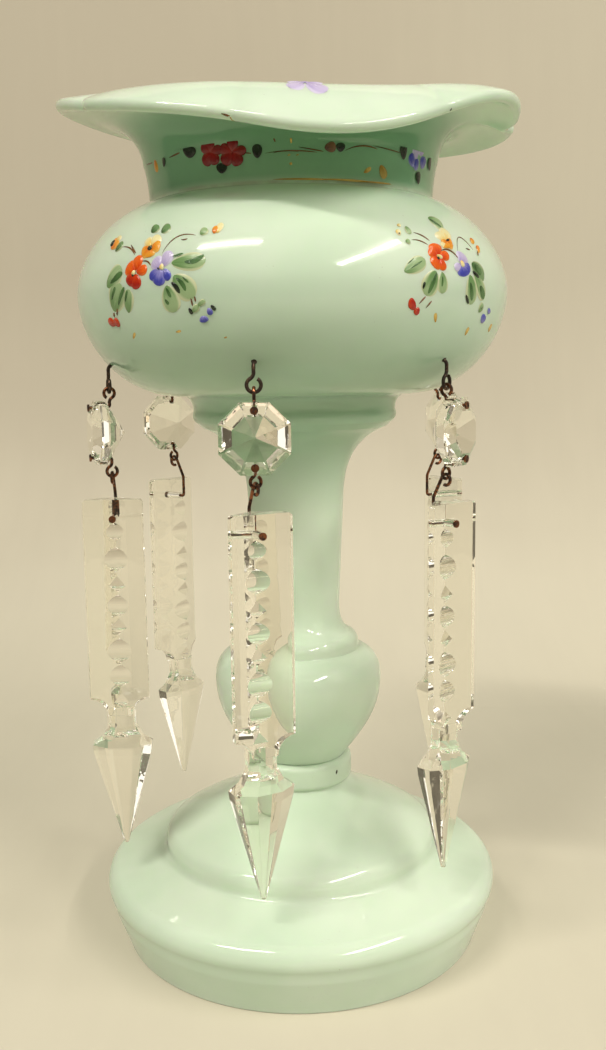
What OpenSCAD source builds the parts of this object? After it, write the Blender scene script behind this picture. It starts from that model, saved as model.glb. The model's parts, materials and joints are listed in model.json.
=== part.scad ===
// Mantel lustre in opaline glass: a vase with a hand-turned wavy rim, carried on a
// stem with a knop and on a stepped foot, and hung with six drops. Each drop is a
// headed wire pin in a bore low in the bowl, a cut octagonal button and a notched
// spear prism, linked by bent wire eyes. Millimetres, +Z up, origin at the middle
// of the face that the foot stands on. The front of the object looks along -Y.

/* [Foot] */
// Height from the table to the seat of the stem
foot_h = 67; // [60:0.5:76]
// Radius of the edge that the foot stands on
foot_base_r = 67.7; // [64:0.1:70]
// Widest radius of the foot
foot_r = 74.2; // [71:0.1:80]
// Height of the widest ring of the foot
foot_wide_z = 16; // [14:0.5:18]
// Radius of the foot's rolled edge
foot_edge_r = 10; // [8:0.5:12]
// Slope of the step between the rolled edge and the dome
step_slope = 22; // [16:1:26]
// Radius of the upper dome where it leaves the step
dome_r = 51.8; // [46:0.1:55]
// Radius of the bead under the stem
bead_r = 20; // [19:0.1:23]
// Height of the bead under the stem
bead_h = 10; // [8:0.5:12]
// Radius of the hollow under the foot at the table
hollow_r = 54; // [48:0.5:57]
// Height of the hollow under the foot
hollow_h = 26; // [20:0.5:27]

/* [Stem] */
// Height of the stem from the foot to the seat of the bowl
stem_h = 136; // [126:1:150]
// Radius of the face that seats on the foot
stem_seat_r = 17.6; // [16:0.1:18.5]
// Widest radius of the knop
knop_r = 31.4; // [28:0.1:34]
// Height of the widest ring of the knop above the seat
knop_z = 30; // [27:0.5:33]
// Height of the knop's upper edge above the seat
knop_top = 41.3; // [38:0.1:44]
// Radius of the ring on top of the knop
ring_r = 23; // [21.5:0.1:25]
// Height of the ring on top of the knop
ring_h = 6; // [5:0.1:8]
// Least radius of the shaft
shaft_r = 15.9; // [14:0.1:18]
// Radius of the shaft where it spreads to the collar
shaft_top_r = 17.9; // [17:0.1:20]
// Radius of the collar under the bowl
collar_r = 37.4; // [34:0.1:40]
// Depth of the collar's widest ring below the bowl
collar_h = 7; // [6:0.5:9]

/* [Vase] */
// Widest radius of the bowl
bowl_r = 76.5; // [73:0.1:82]
// Depth of the bowl below its widest ring
bowl_low = 35; // [32:0.5:40]
// Rise of the shoulder above the widest ring
bowl_high = 32.5; // [29:0.5:37]
// Radius of the flat under the bowl
bowl_flat_r = 43; // [41:0.1:45]
// Fullness of the curve under the bowl, where 2 is an ellipse
low_full = 1.9; // [1.7:0.05:2.3]
// Fullness of the shoulder, where 2 is an ellipse
high_full = 1.8; // [1.7:0.05:2.2]
// Outer radius of the neck where it leaves the shoulder
neck_r = 50.3; // [48.5:0.1:53]
// Height of the neck below the flared rim
neck_h = 14; // [11:0.5:18]
// Spread of the neck over its height
neck_flare = 1.8; // [0.5:0.1:3]
// Thickness of the glass wall
vase_wall = 4.8; // [4:0.1:5.6]
// Thickness of the bowl's floor
bowl_floor = 6; // [5:0.1:7.5]

/* [Rim] */
// Radius of the rim's edge at the joints between lobes
rim_r = 78.5; // [74:0.5:84]
// How far the middle of a lobe stands out
lobe_out = 3; // [1:0.1:5]
// Thickness of the rolled lip
lip_t = 4; // [3:0.1:4.6]
// Height of the rim's crest above the neck
crest_h = 15; // [12:0.5:18]

/* [Drops] */
// Depth of the bores below the bowl's widest ring
bore_low = 23.7; // [21:0.1:26]
// Diameter of the bores
bore_d = 2.6; // [2.2:0.1:3.4]
// Diameter of the pin in the bowl
pin_wire = 1.2; // [1:0.05:1.4]
// Diameter of the wire through the crystals
link_wire = 1.1; // [0.9:0.05:1.2]
// Radius of the eye on the bowl pin, to the middle of the wire
pin_eye_r = 2.2; // [2:0.1:2.8]
// Radius of the eyes on the crystals' wires
link_eye_r = 1.8; // [1.6:0.1:2.2]
// Straight length of the bowl pin below its bend
pin_drop = 1.5; // [0.5:0.1:5]
// Diameter of the head inside the bowl
pin_head_d = 4.6; // [4:0.1:6]
// Diameter of the heads on the crystals' wires
link_head_d = 2.5; // [2.2:0.1:3]
// Gap left between linked eyes and round the wires
clear = 0.3; // [0.2:0.05:0.5]

/* [Button] */
// Width of the button across its flats
button_w = 22; // [19:0.5:25]
// Thickness of the button's girdle
girdle_t = 2.6; // [1.8:0.1:3.2]
// Width of the flat table on the front
table_w = 13.6; // [11:0.1:15]
// Height of the table above the girdle
table_h = 2.2; // [1.5:0.1:3]
// Depth of the pointed back behind the girdle
back_h = 7.2; // [6:0.1:8.5]
// Distance from the middle of the button to each hole
button_hole = 8.6; // [8:0.1:8.8]
// Diameter of the holes in the button
button_hole_d = 2; // [1.8:0.1:2.4]

/* [Prism] */
// Length of the prism
prism_l = 127; // [110:1:140]
// Length of the notched blade
blade_l = 71.5; // [69:0.5:76]
// Width of the blade
blade_w = 20.8; // [18:0.1:23]
// Thickness of the blade at its edges
blade_edge = 2.4; // [2:0.1:3]
// Thickness of the blade at its ridge
blade_ridge = 8.6; // [7.5:0.1:9.5]
// Width of the waist between blade and spear
waist_w = 9.6; // [8:0.1:12]
// Width of the spear at its shoulder
spear_w = 21; // [17:0.1:23]
// Thickness of the spear at its shoulder
spear_t = 13; // [10:0.1:16]
// Length of the spear below its shoulder
spear_l = 35; // [28:0.5:40]
// Distance of the hole from the top of the prism
prism_hole = 6.8; // [5.5:0.1:7]
// Diameter of the hole in the prism
prism_hole_d = 2.6; // [2:0.1:3]

/* [Hidden] */
// Angles of the six hand-drilled bores from the front, to the right as seen there
drop_angles = [-132, -70, -10, 47, 122, 178];
drop_count = len(drop_angles);
// How far each button, and then each prism's flat side, hangs turned from facing out
button_turns = [-15, 0, 12, 7, 0, 0];
prism_turns = [0, 72, 37, -5, 0, 0];
// Angles of the joints between the rim's six lobes
lobe_edges = [-57, -12, 37, 84, 158, 230];
// Height of the lip above the neck at each of those joints
lobe_joint_h = [12, 1, 5, 11.5, 18, 21];
// How far each lobe bows up or, below zero, droops between its joints
lobe_bow = [-0.5, -6.5, 5, -1, 2, 4.5];
lobe_count = len(lobe_edges);
// How the rim's crest leans out from the neck and follows the height of the lip
crest_lean = 2;
crest_follow = 0.26;
// Round and V cuts down the blade's ridge: distance from the top and width
round_cuts = [[12, 6.2], [21.8, 8.4], [38.6, 7.6], [55.1, 8.6], [64.3, 7.8]];
vee_cuts = [[31.3, 5.8], [46.6, 5.8], [74.2, 5.4]];
// Share of a V cut that lies below its deepest line
vee_low = 0.41;

curve_steps = 12;
rim_sides = 64;
rim_steps = 6;
neck_steps = 3;
wire_fn = 40;
// Runs of wire stop short of each other inside a ball a little thicker than the wire
joint_gap = 0.05;
ball_over = 0.06;
big_fn = 96;

seat_z = foot_h + stem_h;
bowl_z = seat_z + bowl_low;

// Inside of the bowl
inner_r = bowl_r - vase_wall;
inner_flat_r = bowl_flat_r - bowl_floor / 2;
inner_low = bowl_low - bowl_floor;
inner_high = bowl_high - vase_wall;

// Height over radius on a superellipse quarter, both as shares of its half axes
function quarter_rise(share, full) = pow(1 - pow(share, full), 1 / full);
// Points of a superellipse quarter between two angles, from its widest ring inward
function quarter(mid_r, half_r, rise, full, from = 0, to = 90) = [
  for (i = [0 : curve_steps])
    let (a = from + (to - from) * i / curve_steps)
    [mid_r + half_r * pow(cos(a), 2 / full), rise * pow(sin(a), 2 / full)]
];
// Parameter angle at which such a quarter has shrunk to a given radius
function quarter_angle(mid_r, half_r, full, r) = acos(pow((r - mid_r) / half_r, full / 2));
function reversed(points) = [for (i = [len(points) - 1 : -1 : 0]) points[i]];
function lifted(points, z, sign = 1) = [for (p = points) [p[0], z + sign * p[1]]];
function lerp(a, b, t) = a + (b - a) * t;
// Points of a circular arc in a profile
function arc(centre, r, from, to, steps = 8) = [
  for (i = [0 : steps])
    let (a = lerp(from, to, i / steps))
    centre + r * [cos(a), sin(a)]
];
// Points of a cubic curve between two ends with two handles
function cubic(p, steps) = [for (i = [0 : steps]) cubic_at(p, i / steps)];
function cubic_at(p, t) = pow(1 - t, 3) * p[0] + 3 * t * pow(1 - t, 2) * p[1]
  + 3 * t * t * (1 - t) * p[2] + pow(t, 3) * p[3];

shoulder_share = (neck_r - bowl_flat_r) / (bowl_r - bowl_flat_r);
neck_z = bowl_z + bowl_high * quarter_rise(shoulder_share, high_full);
neck_top = neck_z + neck_h;
// The neck's wall is rooted in the shoulder, which passes it a little on both sides
neck_root = 3;
root_over = 0.6;
mouth_r = neck_r - vase_wall - root_over;
shoulder_end = quarter_angle(bowl_flat_r, bowl_r - bowl_flat_r, high_full, neck_r - 2 * root_over);
inner_end = quarter_angle(inner_flat_r, inner_r - inner_flat_r, high_full, mouth_r);

// The bores: where they break out of the bowl, and their slope along its normal
bore_share = quarter_rise(bore_low / bowl_low, low_full);
bore_r = bowl_flat_r + (bowl_r - bowl_flat_r) * bore_share;
bore_z = bowl_z - bore_low;
bore_tilt = atan2(pow(bore_low / bowl_low, low_full - 1) / bowl_low,
  pow(bore_share, low_full - 1) / (bowl_r - bowl_flat_r));
// Inside the bowl or still in its wall, at a depth along the bore
function in_bowl(s) =
  let (r = bore_r - s * cos(bore_tilt), z = bore_z + s * sin(bore_tilt))
  pow((r - inner_flat_r) / (inner_r - inner_flat_r), low_full)
    + pow((bowl_z - z) / inner_low, low_full) < 1;
function bore_depth(lo, hi, k) =
  let (mid = (lo + hi) / 2)
  k == 0 ? mid : in_bowl(mid) ? bore_depth(lo, mid, k - 1) : bore_depth(mid, hi, k - 1);
wall_search = vase_wall * 3;
spot_depth = 0.6;
bore_l = bore_depth(0, wall_search, 20) - spot_depth;
spot_d = pin_head_d + 4 * clear;

// The bowl pin: bend below the bore, then straight down to its eye
pin_out = 0.6;
pin_bend_r = 1.8;
pin_head_t = 0.9;
bend_start = [bore_r + pin_out * cos(bore_tilt), bore_z - pin_out * sin(bore_tilt)];
bend_mid = bend_start - pin_bend_r * [sin(bore_tilt), cos(bore_tilt)];
hang_r = bend_mid[0] + pin_bend_r;
pin_eye_z = bend_mid[1] - pin_drop;

// An eye is a bend of 60 degrees and a loop of 300 degrees of the same radius
eye_bend = 60;
eye_mid = 2 * sin(eye_bend);
eye_top = eye_mid + 1;
pin_link_z = pin_eye_z - eye_top * pin_eye_r;
link_gap = (pin_wire + link_wire) / 2 + clear;

// The button hangs in front of its wires: places are measured from the hanging line
bevel_run = (button_w - table_w) / 2;
bevel_slope = table_h / bevel_run;
hole_edge = button_w / 2 - button_hole;
hole_front = girdle_t / 2 + bevel_slope * hole_edge;
hole_back = girdle_t / 2 + back_h * hole_edge / (button_w / 2);
elbow_r = 1;
head_gap = 0.1;
button_eye_z = pin_link_z + link_gap - eye_top * link_eye_r;
button_top_gap = 0.6;
button_z = button_eye_z + button_top_gap - button_w / 2;
button_x = link_wire / 2 + clear + hole_back;
button_head_x = button_x + hole_front + bevel_slope * link_head_d / 2 + head_gap;
low_wire_drop = 0.8;
low_eye_z = button_z - button_hole - elbow_r - low_wire_drop;
prism_link_z = low_eye_z - eye_top * link_eye_r;

// The prism's wire leaves its eye on a slant, so that the prism hangs in balance
slant = 28;
slant_l = 7.5;
slant_bend_r = 2;
eye_open = -115;
prism_eye_z = prism_link_z + link_wire + clear - link_eye_r;
slant_start = link_eye_r * [-cos(slant), sin(slant)];
slant_end = slant_start - slant_l * [sin(slant), cos(slant)];
slant_mid = slant_end + slant_bend_r * [cos(slant), -sin(slant)];
back_x = slant_mid[0] - slant_bend_r;
back_z = slant_mid[1];
prism_top_gap = 0.7;
prism_top = prism_eye_z + back_z - prism_top_gap;
prism_x = back_x + link_wire / 2 + clear;
prism_head_x = prism_x + blade_ridge + head_gap;
link_head_t = 0.6;

// The prism's outline from its blade to its waist and spear
roof_slope = (blade_ridge - blade_edge) / (blade_w / 2);
// The coves that narrow the blade run a little deeper than the sides of the waist
waist_sunk = 0.6;
cove_r = (blade_w - waist_w) / 2 + waist_sunk;
waist_z = -blade_l - cove_r;
spear_z = -prism_l + spear_l;

opaline = "#cfe7d8";
crystal = [0.88, 0.9, 0.86, 0.6];
iron_wire = "#4a2a1c";
copper_wire = "#7a3a22";

// Faces between closed rings of points, clockwise as seen from the last ring
module loft(rings) {
  n = len(rings[0]);
  m = len(rings);
  points = [for (ring = rings) each ring];
  sides = [
    for (j = [0 : m - 2], i = [0 : n - 1])
      each [[j * n + i, j * n + (i + 1) % n, (j + 1) * n + i],
        [j * n + (i + 1) % n, (j + 1) * n + (i + 1) % n, (j + 1) * n + i]]
  ];
  bottom = [for (i = [n - 1 : -1 : 0]) i];
  top = [for (i = [0 : n - 1]) (m - 1) * n + i];
  polyhedron(points, concat([bottom], sides, [top]));
}

// Foot: a flaring wall, a rolled edge, a sloping step with a groove, a dome with a
// rounded edge and a bead, hollow underneath
module foot() {
  edge = 1.2;
  flare_lead = 2.5;
  groove_r = 2.5;
  hollow_full = 2.4;
  rolls = foot_edge_r + groove_r;
  step_l = (foot_r - foot_edge_r + rolls * sin(step_slope) - dome_r - groove_r) / cos(step_slope);
  groove_z = foot_wide_z + rolls * cos(step_slope) + step_l * sin(step_slope);
  dome_round = 6.3;
  dome_lift = 1;
  dome_turn = 58;
  dome_lead = 12;
  dome_mid = [dome_r - dome_round, groove_z + dome_lift];
  dome_start = dome_mid + dome_round * [cos(dome_turn), sin(dome_turn)];
  bead_z = foot_h - bead_h;
  bead_round = bead_h / 4;
  bead_mid_r = bead_r - bead_round;
  bead_lead = [5.4, -5.8];
  dome_end = [bead_r - edge, bead_z];
  outline = concat(
    [[hollow_r, 0], [foot_base_r - edge, 0]],
    cubic([[foot_base_r, edge], [foot_base_r + flare_lead, foot_wide_z * 0.35],
      [foot_r, foot_wide_z * 0.65], [foot_r, foot_wide_z]], 6),
    arc([foot_r - foot_edge_r, foot_wide_z], foot_edge_r, 6, 90 - step_slope),
    arc([dome_r + groove_r, groove_z], groove_r, 270 - step_slope, 185, 5),
    arc(dome_mid, dome_round, 5, dome_turn, 6),
    cubic([dome_start, dome_start + dome_lead * [-sin(dome_turn), cos(dome_turn)],
      dome_end + bead_lead, dome_end], 9),
    arc([bead_mid_r, bead_z + bead_round], bead_round, -60, 0, 4),
    arc([bead_mid_r, foot_h - bead_round], bead_round, 0, 80, 4),
    [[stem_seat_r, foot_h], [0, foot_h], [0, hollow_h]],
    lifted(quarter(0, hollow_r - edge, hollow_h - edge, hollow_full, 86, 4), edge)
  );
  color(opaline)
    rotate_extrude($fn = big_fn)
      polygon(outline);
}

// Stem: a knop like an inverted bell with a ring on it, a slim shaft and a collar
// that spreads to the bowl
module stem() {
  knop_lead = 6;
  ring_round = 4.5;
  ring_turn = 65;
  ring_mid = [ring_r - ring_round, knop_top + ring_h - ring_round * sin(ring_turn)];
  ring_end = ring_mid + ring_round * [cos(ring_turn), sin(ring_turn)];
  neck_lead = 3;
  neck_l = 10.5;
  collar_z = stem_h - collar_h;
  bell_h = 29;
  bell_lead = 17;
  bell_turn = 9;
  bell_ease = 0.7;
  bell_spread = 4.6;
  bell_edge = 1.2;
  band_round = 3.5;
  band_turn = 25;
  band_mid = [collar_r - band_round, collar_z];
  flare = 3.6;
  flare_in = 0.5;
  flare_out = 0.6;
  flare_h = 3;
  flare_rise = 0.4;
  outline = concat(
    [[0, 0]],
    cubic([[stem_seat_r, 0], [stem_seat_r + knop_lead, knop_z * 0.28], [knop_r, knop_z * 0.55],
      [knop_r, knop_z]], 10),
    cubic([[knop_r, knop_z], [knop_r, lerp(knop_z, knop_top, 0.58)],
      [lerp(ring_r, knop_r, 0.65), lerp(knop_z, knop_top, 0.91)], [ring_r, knop_top]], 8),
    arc(ring_mid, ring_round, 0, ring_turn, 6),
    cubic([ring_end, ring_end + neck_lead * [-sin(ring_turn), cos(ring_turn)],
      [shaft_r, ring_end[1] + neck_l * 0.4], [shaft_r, ring_end[1] + neck_l]], 7),
    cubic([[shaft_top_r, collar_z - bell_h], [shaft_top_r + bell_ease, collar_z - bell_lead],
      [shaft_top_r + bell_spread, collar_z - bell_turn], band_mid - [0, band_round + bell_edge]], 9),
    arc(band_mid, band_round, -65, band_turn, 6),
    cubic([band_mid + band_round * [cos(band_turn), sin(band_turn)],
      [collar_r - flare_in, stem_h - flare_h], [collar_r + flare_out, stem_h - flare_rise],
      [collar_r + flare, stem_h]], 6),
    [[0, stem_h]]
  );
  color(opaline)
    translate([0, 0, foot_h])
      rotate_extrude($fn = big_fn)
        polygon(outline);
}

// Height and radius of the lip at an angle from the front
function lobe_at(a) = [
  for (k = [0 : lobe_count - 1])
    let (
      start = lobe_edges[k],
      end = k == lobe_count - 1 ? lobe_edges[0] + 360 : lobe_edges[k + 1],
      turn = (a - start) - 360 * floor((a - start) / 360)
    )
    if (turn < end - start) [k, turn / (end - start)]
][0];
function lip_h(lobe) = lerp(lobe_joint_h[lobe[0]], lobe_joint_h[(lobe[0] + 1) % lobe_count], lobe[1])
  + lobe_bow[lobe[0]] * sin(180 * lobe[1]);
function lip_r(lobe) = rim_r + lobe_out * sin(180 * lobe[1]);

neck_mid_r = neck_r - vase_wall / 2;
crest_r = neck_mid_r + neck_flare;
// Handles of the rim's curve from the neck out to the lip, in the plane of an angle
function rim_handles(lobe) = [
  [crest_r, neck_top],
  [crest_r + crest_lean, neck_top + crest_h],
  [lerp(crest_r, lip_r(lobe), 0.5), neck_top + crest_h + crest_follow * lip_h(lobe)],
  [lip_r(lobe) - lip_t / 2, neck_top + lip_h(lobe)]
];
// Middle of the wall: up the neck while t is below 0, then out along the rim
function rim_mid(p, t) = t > 0 ? cubic_at(p, t)
  : [neck_mid_r + neck_flare * pow(1 + t, 2), neck_top + t * (neck_h + neck_root)];
function rim_slope(p, t) =
  let (d = rim_mid(p, min(1, t + 0.01)) - rim_mid(p, max(-1, t - 0.01)))
  d / norm(d);
rim_stations = concat(
  [for (i = [-neck_steps : -1]) i / neck_steps],
  [for (i = [0 : rim_steps]) i / rim_steps]
);
// One closed section of the rim: under side, rolled lip, upper side
function rim_section(a) =
  let (
    p = rim_handles(lobe_at(a)),
    under = [for (t = rim_stations) rim_offset(p, t, -1)],
    upper = [for (t = reversed(rim_stations)) rim_offset(p, t, 1)],
    d = rim_slope(p, 1),
    lip = [for (e = [-45, 0, 45]) p[3] + lip_t / 2 * (cos(e) * d + sin(e) * [-d[1], d[0]])]
  )
  [for (q = concat(under, lip, upper)) [q[0] * sin(a), -q[0] * cos(a), q[1]]];
function rim_offset(p, t, side) =
  let (d = rim_slope(p, t), half = lerp(vase_wall, lip_t, max(0, t)) / 2)
  rim_mid(p, t) + side * half * [-d[1], d[0]];

// Neck and wavy rim as a ring of sections
module rim() {
  sections = [for (i = [0 : rim_sides - 1]) rim_section(i * 360 / rim_sides)];
  m = len(sections[0]);
  points = [for (s = sections) each s];
  faces = [
    for (i = [0 : rim_sides - 1], j = [0 : m - 1])
      let (
        here = i * m,
        next = (i + 1) % rim_sides * m,
        up = (j + 1) % m
      )
      each [[here + j, here + up, next + j], [next + j, here + up, next + up]]
  ];
  polyhedron(points, faces);
}

// Bowl, turned in one profile, open where the neck is rooted in its shoulder
module bowl() {
  outside = concat(
    [[0, seat_z]],
    lifted(reversed(quarter(bowl_flat_r, bowl_r - bowl_flat_r, bowl_low, low_full)), bowl_z, -1),
    lifted(quarter(bowl_flat_r, bowl_r - bowl_flat_r, bowl_high, high_full, shoulder_end / curve_steps,
      shoulder_end), bowl_z)
  );
  inner_run = inner_r - inner_flat_r;
  inside = concat(
    [[mouth_r, neck_z - neck_root / 2]],
    lifted(reversed(quarter(inner_flat_r, inner_run, inner_high, high_full, 0, inner_end)), bowl_z),
    lifted(quarter(inner_flat_r, inner_run, inner_low, low_full, 90 / curve_steps, 90), bowl_z, -1),
    [[0, seat_z + bowl_floor]]
  );
  rotate_extrude($fn = big_fn)
    polygon(concat(outside, inside));
}

// Places children in the plane of one drop: +X runs out from the axis, +Z up
module at_drop(i) {
  rotate([0, 0, drop_angles[i - 1] - 90])
    children();
}

// Places children on one drop's hanging line, turned about it
module at_hang(i, turn) {
  at_drop(i)
    translate([hang_r, 0, 0])
      rotate([0, 0, turn])
        children();
}

// Turns +X down the slope of a bore, with its mouth at the origin
module at_bore() {
  translate([bore_r, 0, bore_z])
    rotate([0, bore_tilt, 0])
      children();
}

// A bar along +X between two stations
module bar_x(d, from, to) {
  translate([from, 0, 0])
    rotate([0, 90, 0])
      cylinder(d = d, h = to - from, $fn = wire_fn);
}

// Vase: bowl, neck and rim in one piece, with six bores ground flat inside
module vase() {
  past = 4;
  color(opaline)
    difference() {
      union() {
        bowl();
        rim();
      }
      for (i = [1 : drop_count])
        at_drop(i)
          at_bore() {
            bar_x(bore_d, -wall_search, past);
            bar_x(spot_d, -wall_search, -bore_l);
          }
    }
}

// An arc of wire in the X-Z plane about the origin
module wire_arc(d, r, from, to) {
  short = joint_gap / r * 180 / PI;
  rotate([90, 0, 0])
    rotate([0, 0, from + short])
      rotate_extrude(angle = to - from - 2 * short, $fn = wire_fn * 2)
        translate([r, 0])
          circle(d = d, $fn = wire_fn);
}

// A straight wire in the X-Z plane
module wire_line(d, from, to) {
  run = to - from;
  translate([from[0], 0, from[1]])
    rotate([0, atan2(run[0], run[1]), 0])
      translate([0, 0, joint_gap])
        cylinder(d = d, h = norm(run) - 2 * joint_gap, $fn = wire_fn);
}

// The ball in which two runs of wire meet
module ball(d, at) {
  translate([at[0], 0, at[1]])
    sphere(d = d + ball_over, $fn = wire_fn);
}

// An eye above the origin on a wire that comes up from below
module eye(d, r) {
  ball(d, [0, 0]);
  translate([-r, 0, 0]) {
    wire_arc(d, r, 0, eye_bend);
    ball(d, r * [cos(eye_bend), sin(eye_bend)]);
  }
  translate([0, 0, eye_mid * r])
    wire_arc(d, r, -eye_bend, 180 + eye_bend);
}

// Headed pin in the bowl: head inside, shank in the bore, eye hanging outside
module bowl_pin(i) {
  head_face = -bore_l - clear;
  color(iron_wire) {
    at_drop(i) {
      at_bore() {
        bar_x(pin_head_d, head_face - pin_head_t, head_face);
        bar_x(pin_wire, head_face - pin_head_t / 2, pin_out - joint_gap);
      }
      ball(pin_wire, bend_start);
      translate([bend_mid[0], 0, bend_mid[1]])
        wire_arc(pin_wire, pin_bend_r, 0, 90 - bore_tilt);
    }
    at_hang(i, button_turns[i - 1]) {
      ball(pin_wire, [0, bend_mid[1]]);
      wire_line(pin_wire, [0, pin_eye_z], [0, bend_mid[1]]);
      translate([0, 0, pin_eye_z])
        rotate([180, 0, 90])
          eye(pin_wire, pin_eye_r);
    }
  }
}

// The bent end of a wire that runs down behind a crystal, or up where up is -1: out
// through the hole at the origin to a head at a given distance in front
module wire_end(head_x, up) {
  translate([elbow_r, 0, up * elbow_r])
    wire_arc(link_wire, elbow_r, up > 0 ? 180 : 90, up > 0 ? 270 : 180);
  ball(link_wire, [0, up * elbow_r]);
  ball(link_wire, [elbow_r, 0]);
  bar_x(link_wire, elbow_r + joint_gap, head_x + link_head_t / 2);
  bar_x(link_head_d, head_x, head_x + link_head_t);
}

// Wire from the bowl pin's eye down behind the button and through its upper hole
module button_top_wire(i) {
  hole_z = button_z + button_hole;
  color(copper_wire)
    at_hang(i, button_turns[i - 1]) {
      translate([0, 0, button_eye_z])
        eye(link_wire, link_eye_r);
      wire_line(link_wire, [0, hole_z + elbow_r], [0, button_eye_z]);
      translate([0, 0, hole_z])
        wire_end(button_head_x, 1);
    }
}

// Wire through the button's lower hole and down to the eye that carries the prism
module button_low_wire(i) {
  hole_z = button_z - button_hole;
  color(copper_wire) {
    at_hang(i, button_turns[i - 1]) {
      translate([0, 0, hole_z])
        wire_end(button_head_x, -1);
      wire_line(link_wire, [0, low_eye_z], [0, hole_z - elbow_r]);
    }
    at_hang(i, prism_turns[i - 1])
      translate([0, 0, low_eye_z])
        rotate([180, 0, 90])
          eye(link_wire, link_eye_r);
  }
}

// A ring of eight points round the X axis, with flats across its width
function octagon(w, x) = [
  for (k = [0 : 7])
    let (a = -22.5 - 45 * k)
    [x, w / 2 / cos(22.5) * cos(a), w / 2 / cos(22.5) * sin(a)]
];

// Octagonal cut button: flat table and bevels in front, a pointed back
module button(i) {
  culet_w = 0.8;
  color(crystal)
    at_hang(i, button_turns[i - 1])
      translate([button_x, 0, button_z])
        difference() {
          loft([octagon(culet_w, -girdle_t / 2 - back_h), octagon(button_w, -girdle_t / 2),
            octagon(button_w, girdle_t / 2), octagon(table_w, girdle_t / 2 + table_h)]);
          for (side = [-1, 1])
            translate([0, 0, side * button_hole])
              bar_x(button_hole_d, -button_w / 2, button_w / 2);
        }
}

// Wire that hangs the prism: an eye, a slant, and a straight end behind the ridge
module prism_wire(i) {
  hole_z = prism_top - prism_hole;
  color(copper_wire)
    at_hang(i, prism_turns[i - 1]) {
      translate([0, 0, prism_eye_z]) {
        wire_arc(link_wire, link_eye_r, eye_open, 180 - slant);
        ball(link_wire, slant_start);
        wire_line(link_wire, slant_end, slant_start);
        ball(link_wire, slant_end);
        ball(link_wire, [back_x, back_z]);
        translate([slant_mid[0], 0, slant_mid[1]])
          wire_arc(link_wire, slant_bend_r, 180 - slant, 180);
      }
      wire_line(link_wire, [back_x, hole_z + elbow_r], [back_x, prism_eye_z + back_z]);
      translate([back_x, 0, hole_z])
        wire_end(prism_head_x - back_x, 1);
    }
}

// Blade of the prism: a roof section trimmed to the outline seen from the flat side,
// narrowed to the waist by two coves
module blade() {
  chip = 0.8;
  half = blade_w / 2;
  side = concat([[half - chip, 0], [half, -chip]], arc([half, waist_z], cove_r, 90, 180));
  intersection() {
    translate([0, 0, waist_z])
      linear_extrude(-waist_z)
        polygon([[0, -half], [blade_edge, -half], [blade_ridge, 0], [blade_edge, half], [0, half]]);
    translate([-1, 0, 0])
      rotate([90, 0, 90])
        linear_extrude(blade_ridge + 2)
          polygon(concat(side, [for (p = reversed(side)) [-p[0], p[1]]]));
  }
}

// A ring of eight points round the spear's axis: wide across Y, less so along X
function spear_ring(w, t, z) =
  let (
    k = tan(22.5),
    x = blade_ridge / 2
  )
  [for (p = [[k, 1], [1, k], [1, -k], [k, -1], [-k, -1], [-1, -k], [-1, k], [-k, 1]])
    [x + p[0] * t / 2, p[1] * w / 2, z]];

// Waist and spear of the prism: a short neck, a faceted shoulder and a long point
module spear() {
  tip_w = 1.6;
  waist_t = blade_ridge - 0.4;
  waist_low = 4.5;
  waist_high = 1.5;
  girdle = 3;
  girdle_in = 0.3;
  flare = 0.4;
  flare_h = 2.4;
  loft([spear_ring(tip_w, tip_w, -prism_l),
    spear_ring(spear_w - 2 * girdle_in, spear_t - 2 * girdle_in, spear_z),
    spear_ring(spear_w, spear_t, spear_z + girdle),
    spear_ring(lerp(waist_w, spear_w, flare), lerp(waist_t, spear_t, flare), spear_z + girdle + flare_h),
    spear_ring(waist_w, waist_t, waist_z - waist_low),
    spear_ring(waist_w, waist_t, waist_z + waist_high)]);
}

// The cuts across the ridge: round ones ground by a wheel, and V cuts between them
module ridge_cuts() {
  half = blade_w / 2;
  for (cut = round_cuts) {
    depth = cut[1] / 2 * roof_slope;
    wheel_r = (pow(cut[1] / 2, 2) + pow(depth, 2)) / (2 * depth);
    translate([blade_ridge - depth + wheel_r, half, -cut[0]])
      rotate([90, 0, 0])
        cylinder(r = wheel_r, h = blade_w, $fn = big_fn);
  }
  for (cut = vee_cuts) {
    depth = cut[1] / 2 * roof_slope;
    translate([blade_ridge - depth, half, -cut[0]])
      rotate([90, 0, 0])
        linear_extrude(blade_w)
          polygon([[0, 0], [2 * depth, -2 * vee_low * cut[1]], [2 * depth, 2 * (1 - vee_low) * cut[1]]]);
  }
}

// Notched spear prism: blade and spear in one piece, with the cuts down its ridge,
// hung with its flat side outward
module prism(i) {
  color(crystal)
    at_hang(i, prism_turns[i - 1])
      translate([prism_x + blade_ridge, 0, prism_top])
        rotate([0, 0, 180])
          difference() {
            union() {
              blade();
              spear();
            }
            ridge_cuts();
            translate([0, 0, -prism_hole])
              bar_x(prism_hole_d, -blade_ridge, 2 * blade_ridge);
          }
}

vase();
stem();
foot();
for (i = [1 : drop_count]) {
  bowl_pin(i);
  button_top_wire(i);
  button(i);
  button_low_wire(i);
  prism_wire(i);
  prism(i);
}
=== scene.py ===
# %% [markdown]
# # A mantel lustre in opaline glass
#
# A lustre is a vase on a tall foot that stands on a mantelpiece, with cut crystal drops
# hung round it to catch the firelight. This lesson dresses the measured frame of one: the
# milky glass is modelled again as smooth surfaces, the crystal and the wires keep their
# measured shapes and get a finish, and the painted flowers are laid on as raised enamel.

# %% The frame
import json
import math

import bpy
import numpy as np
from mathutils import Matrix


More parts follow.
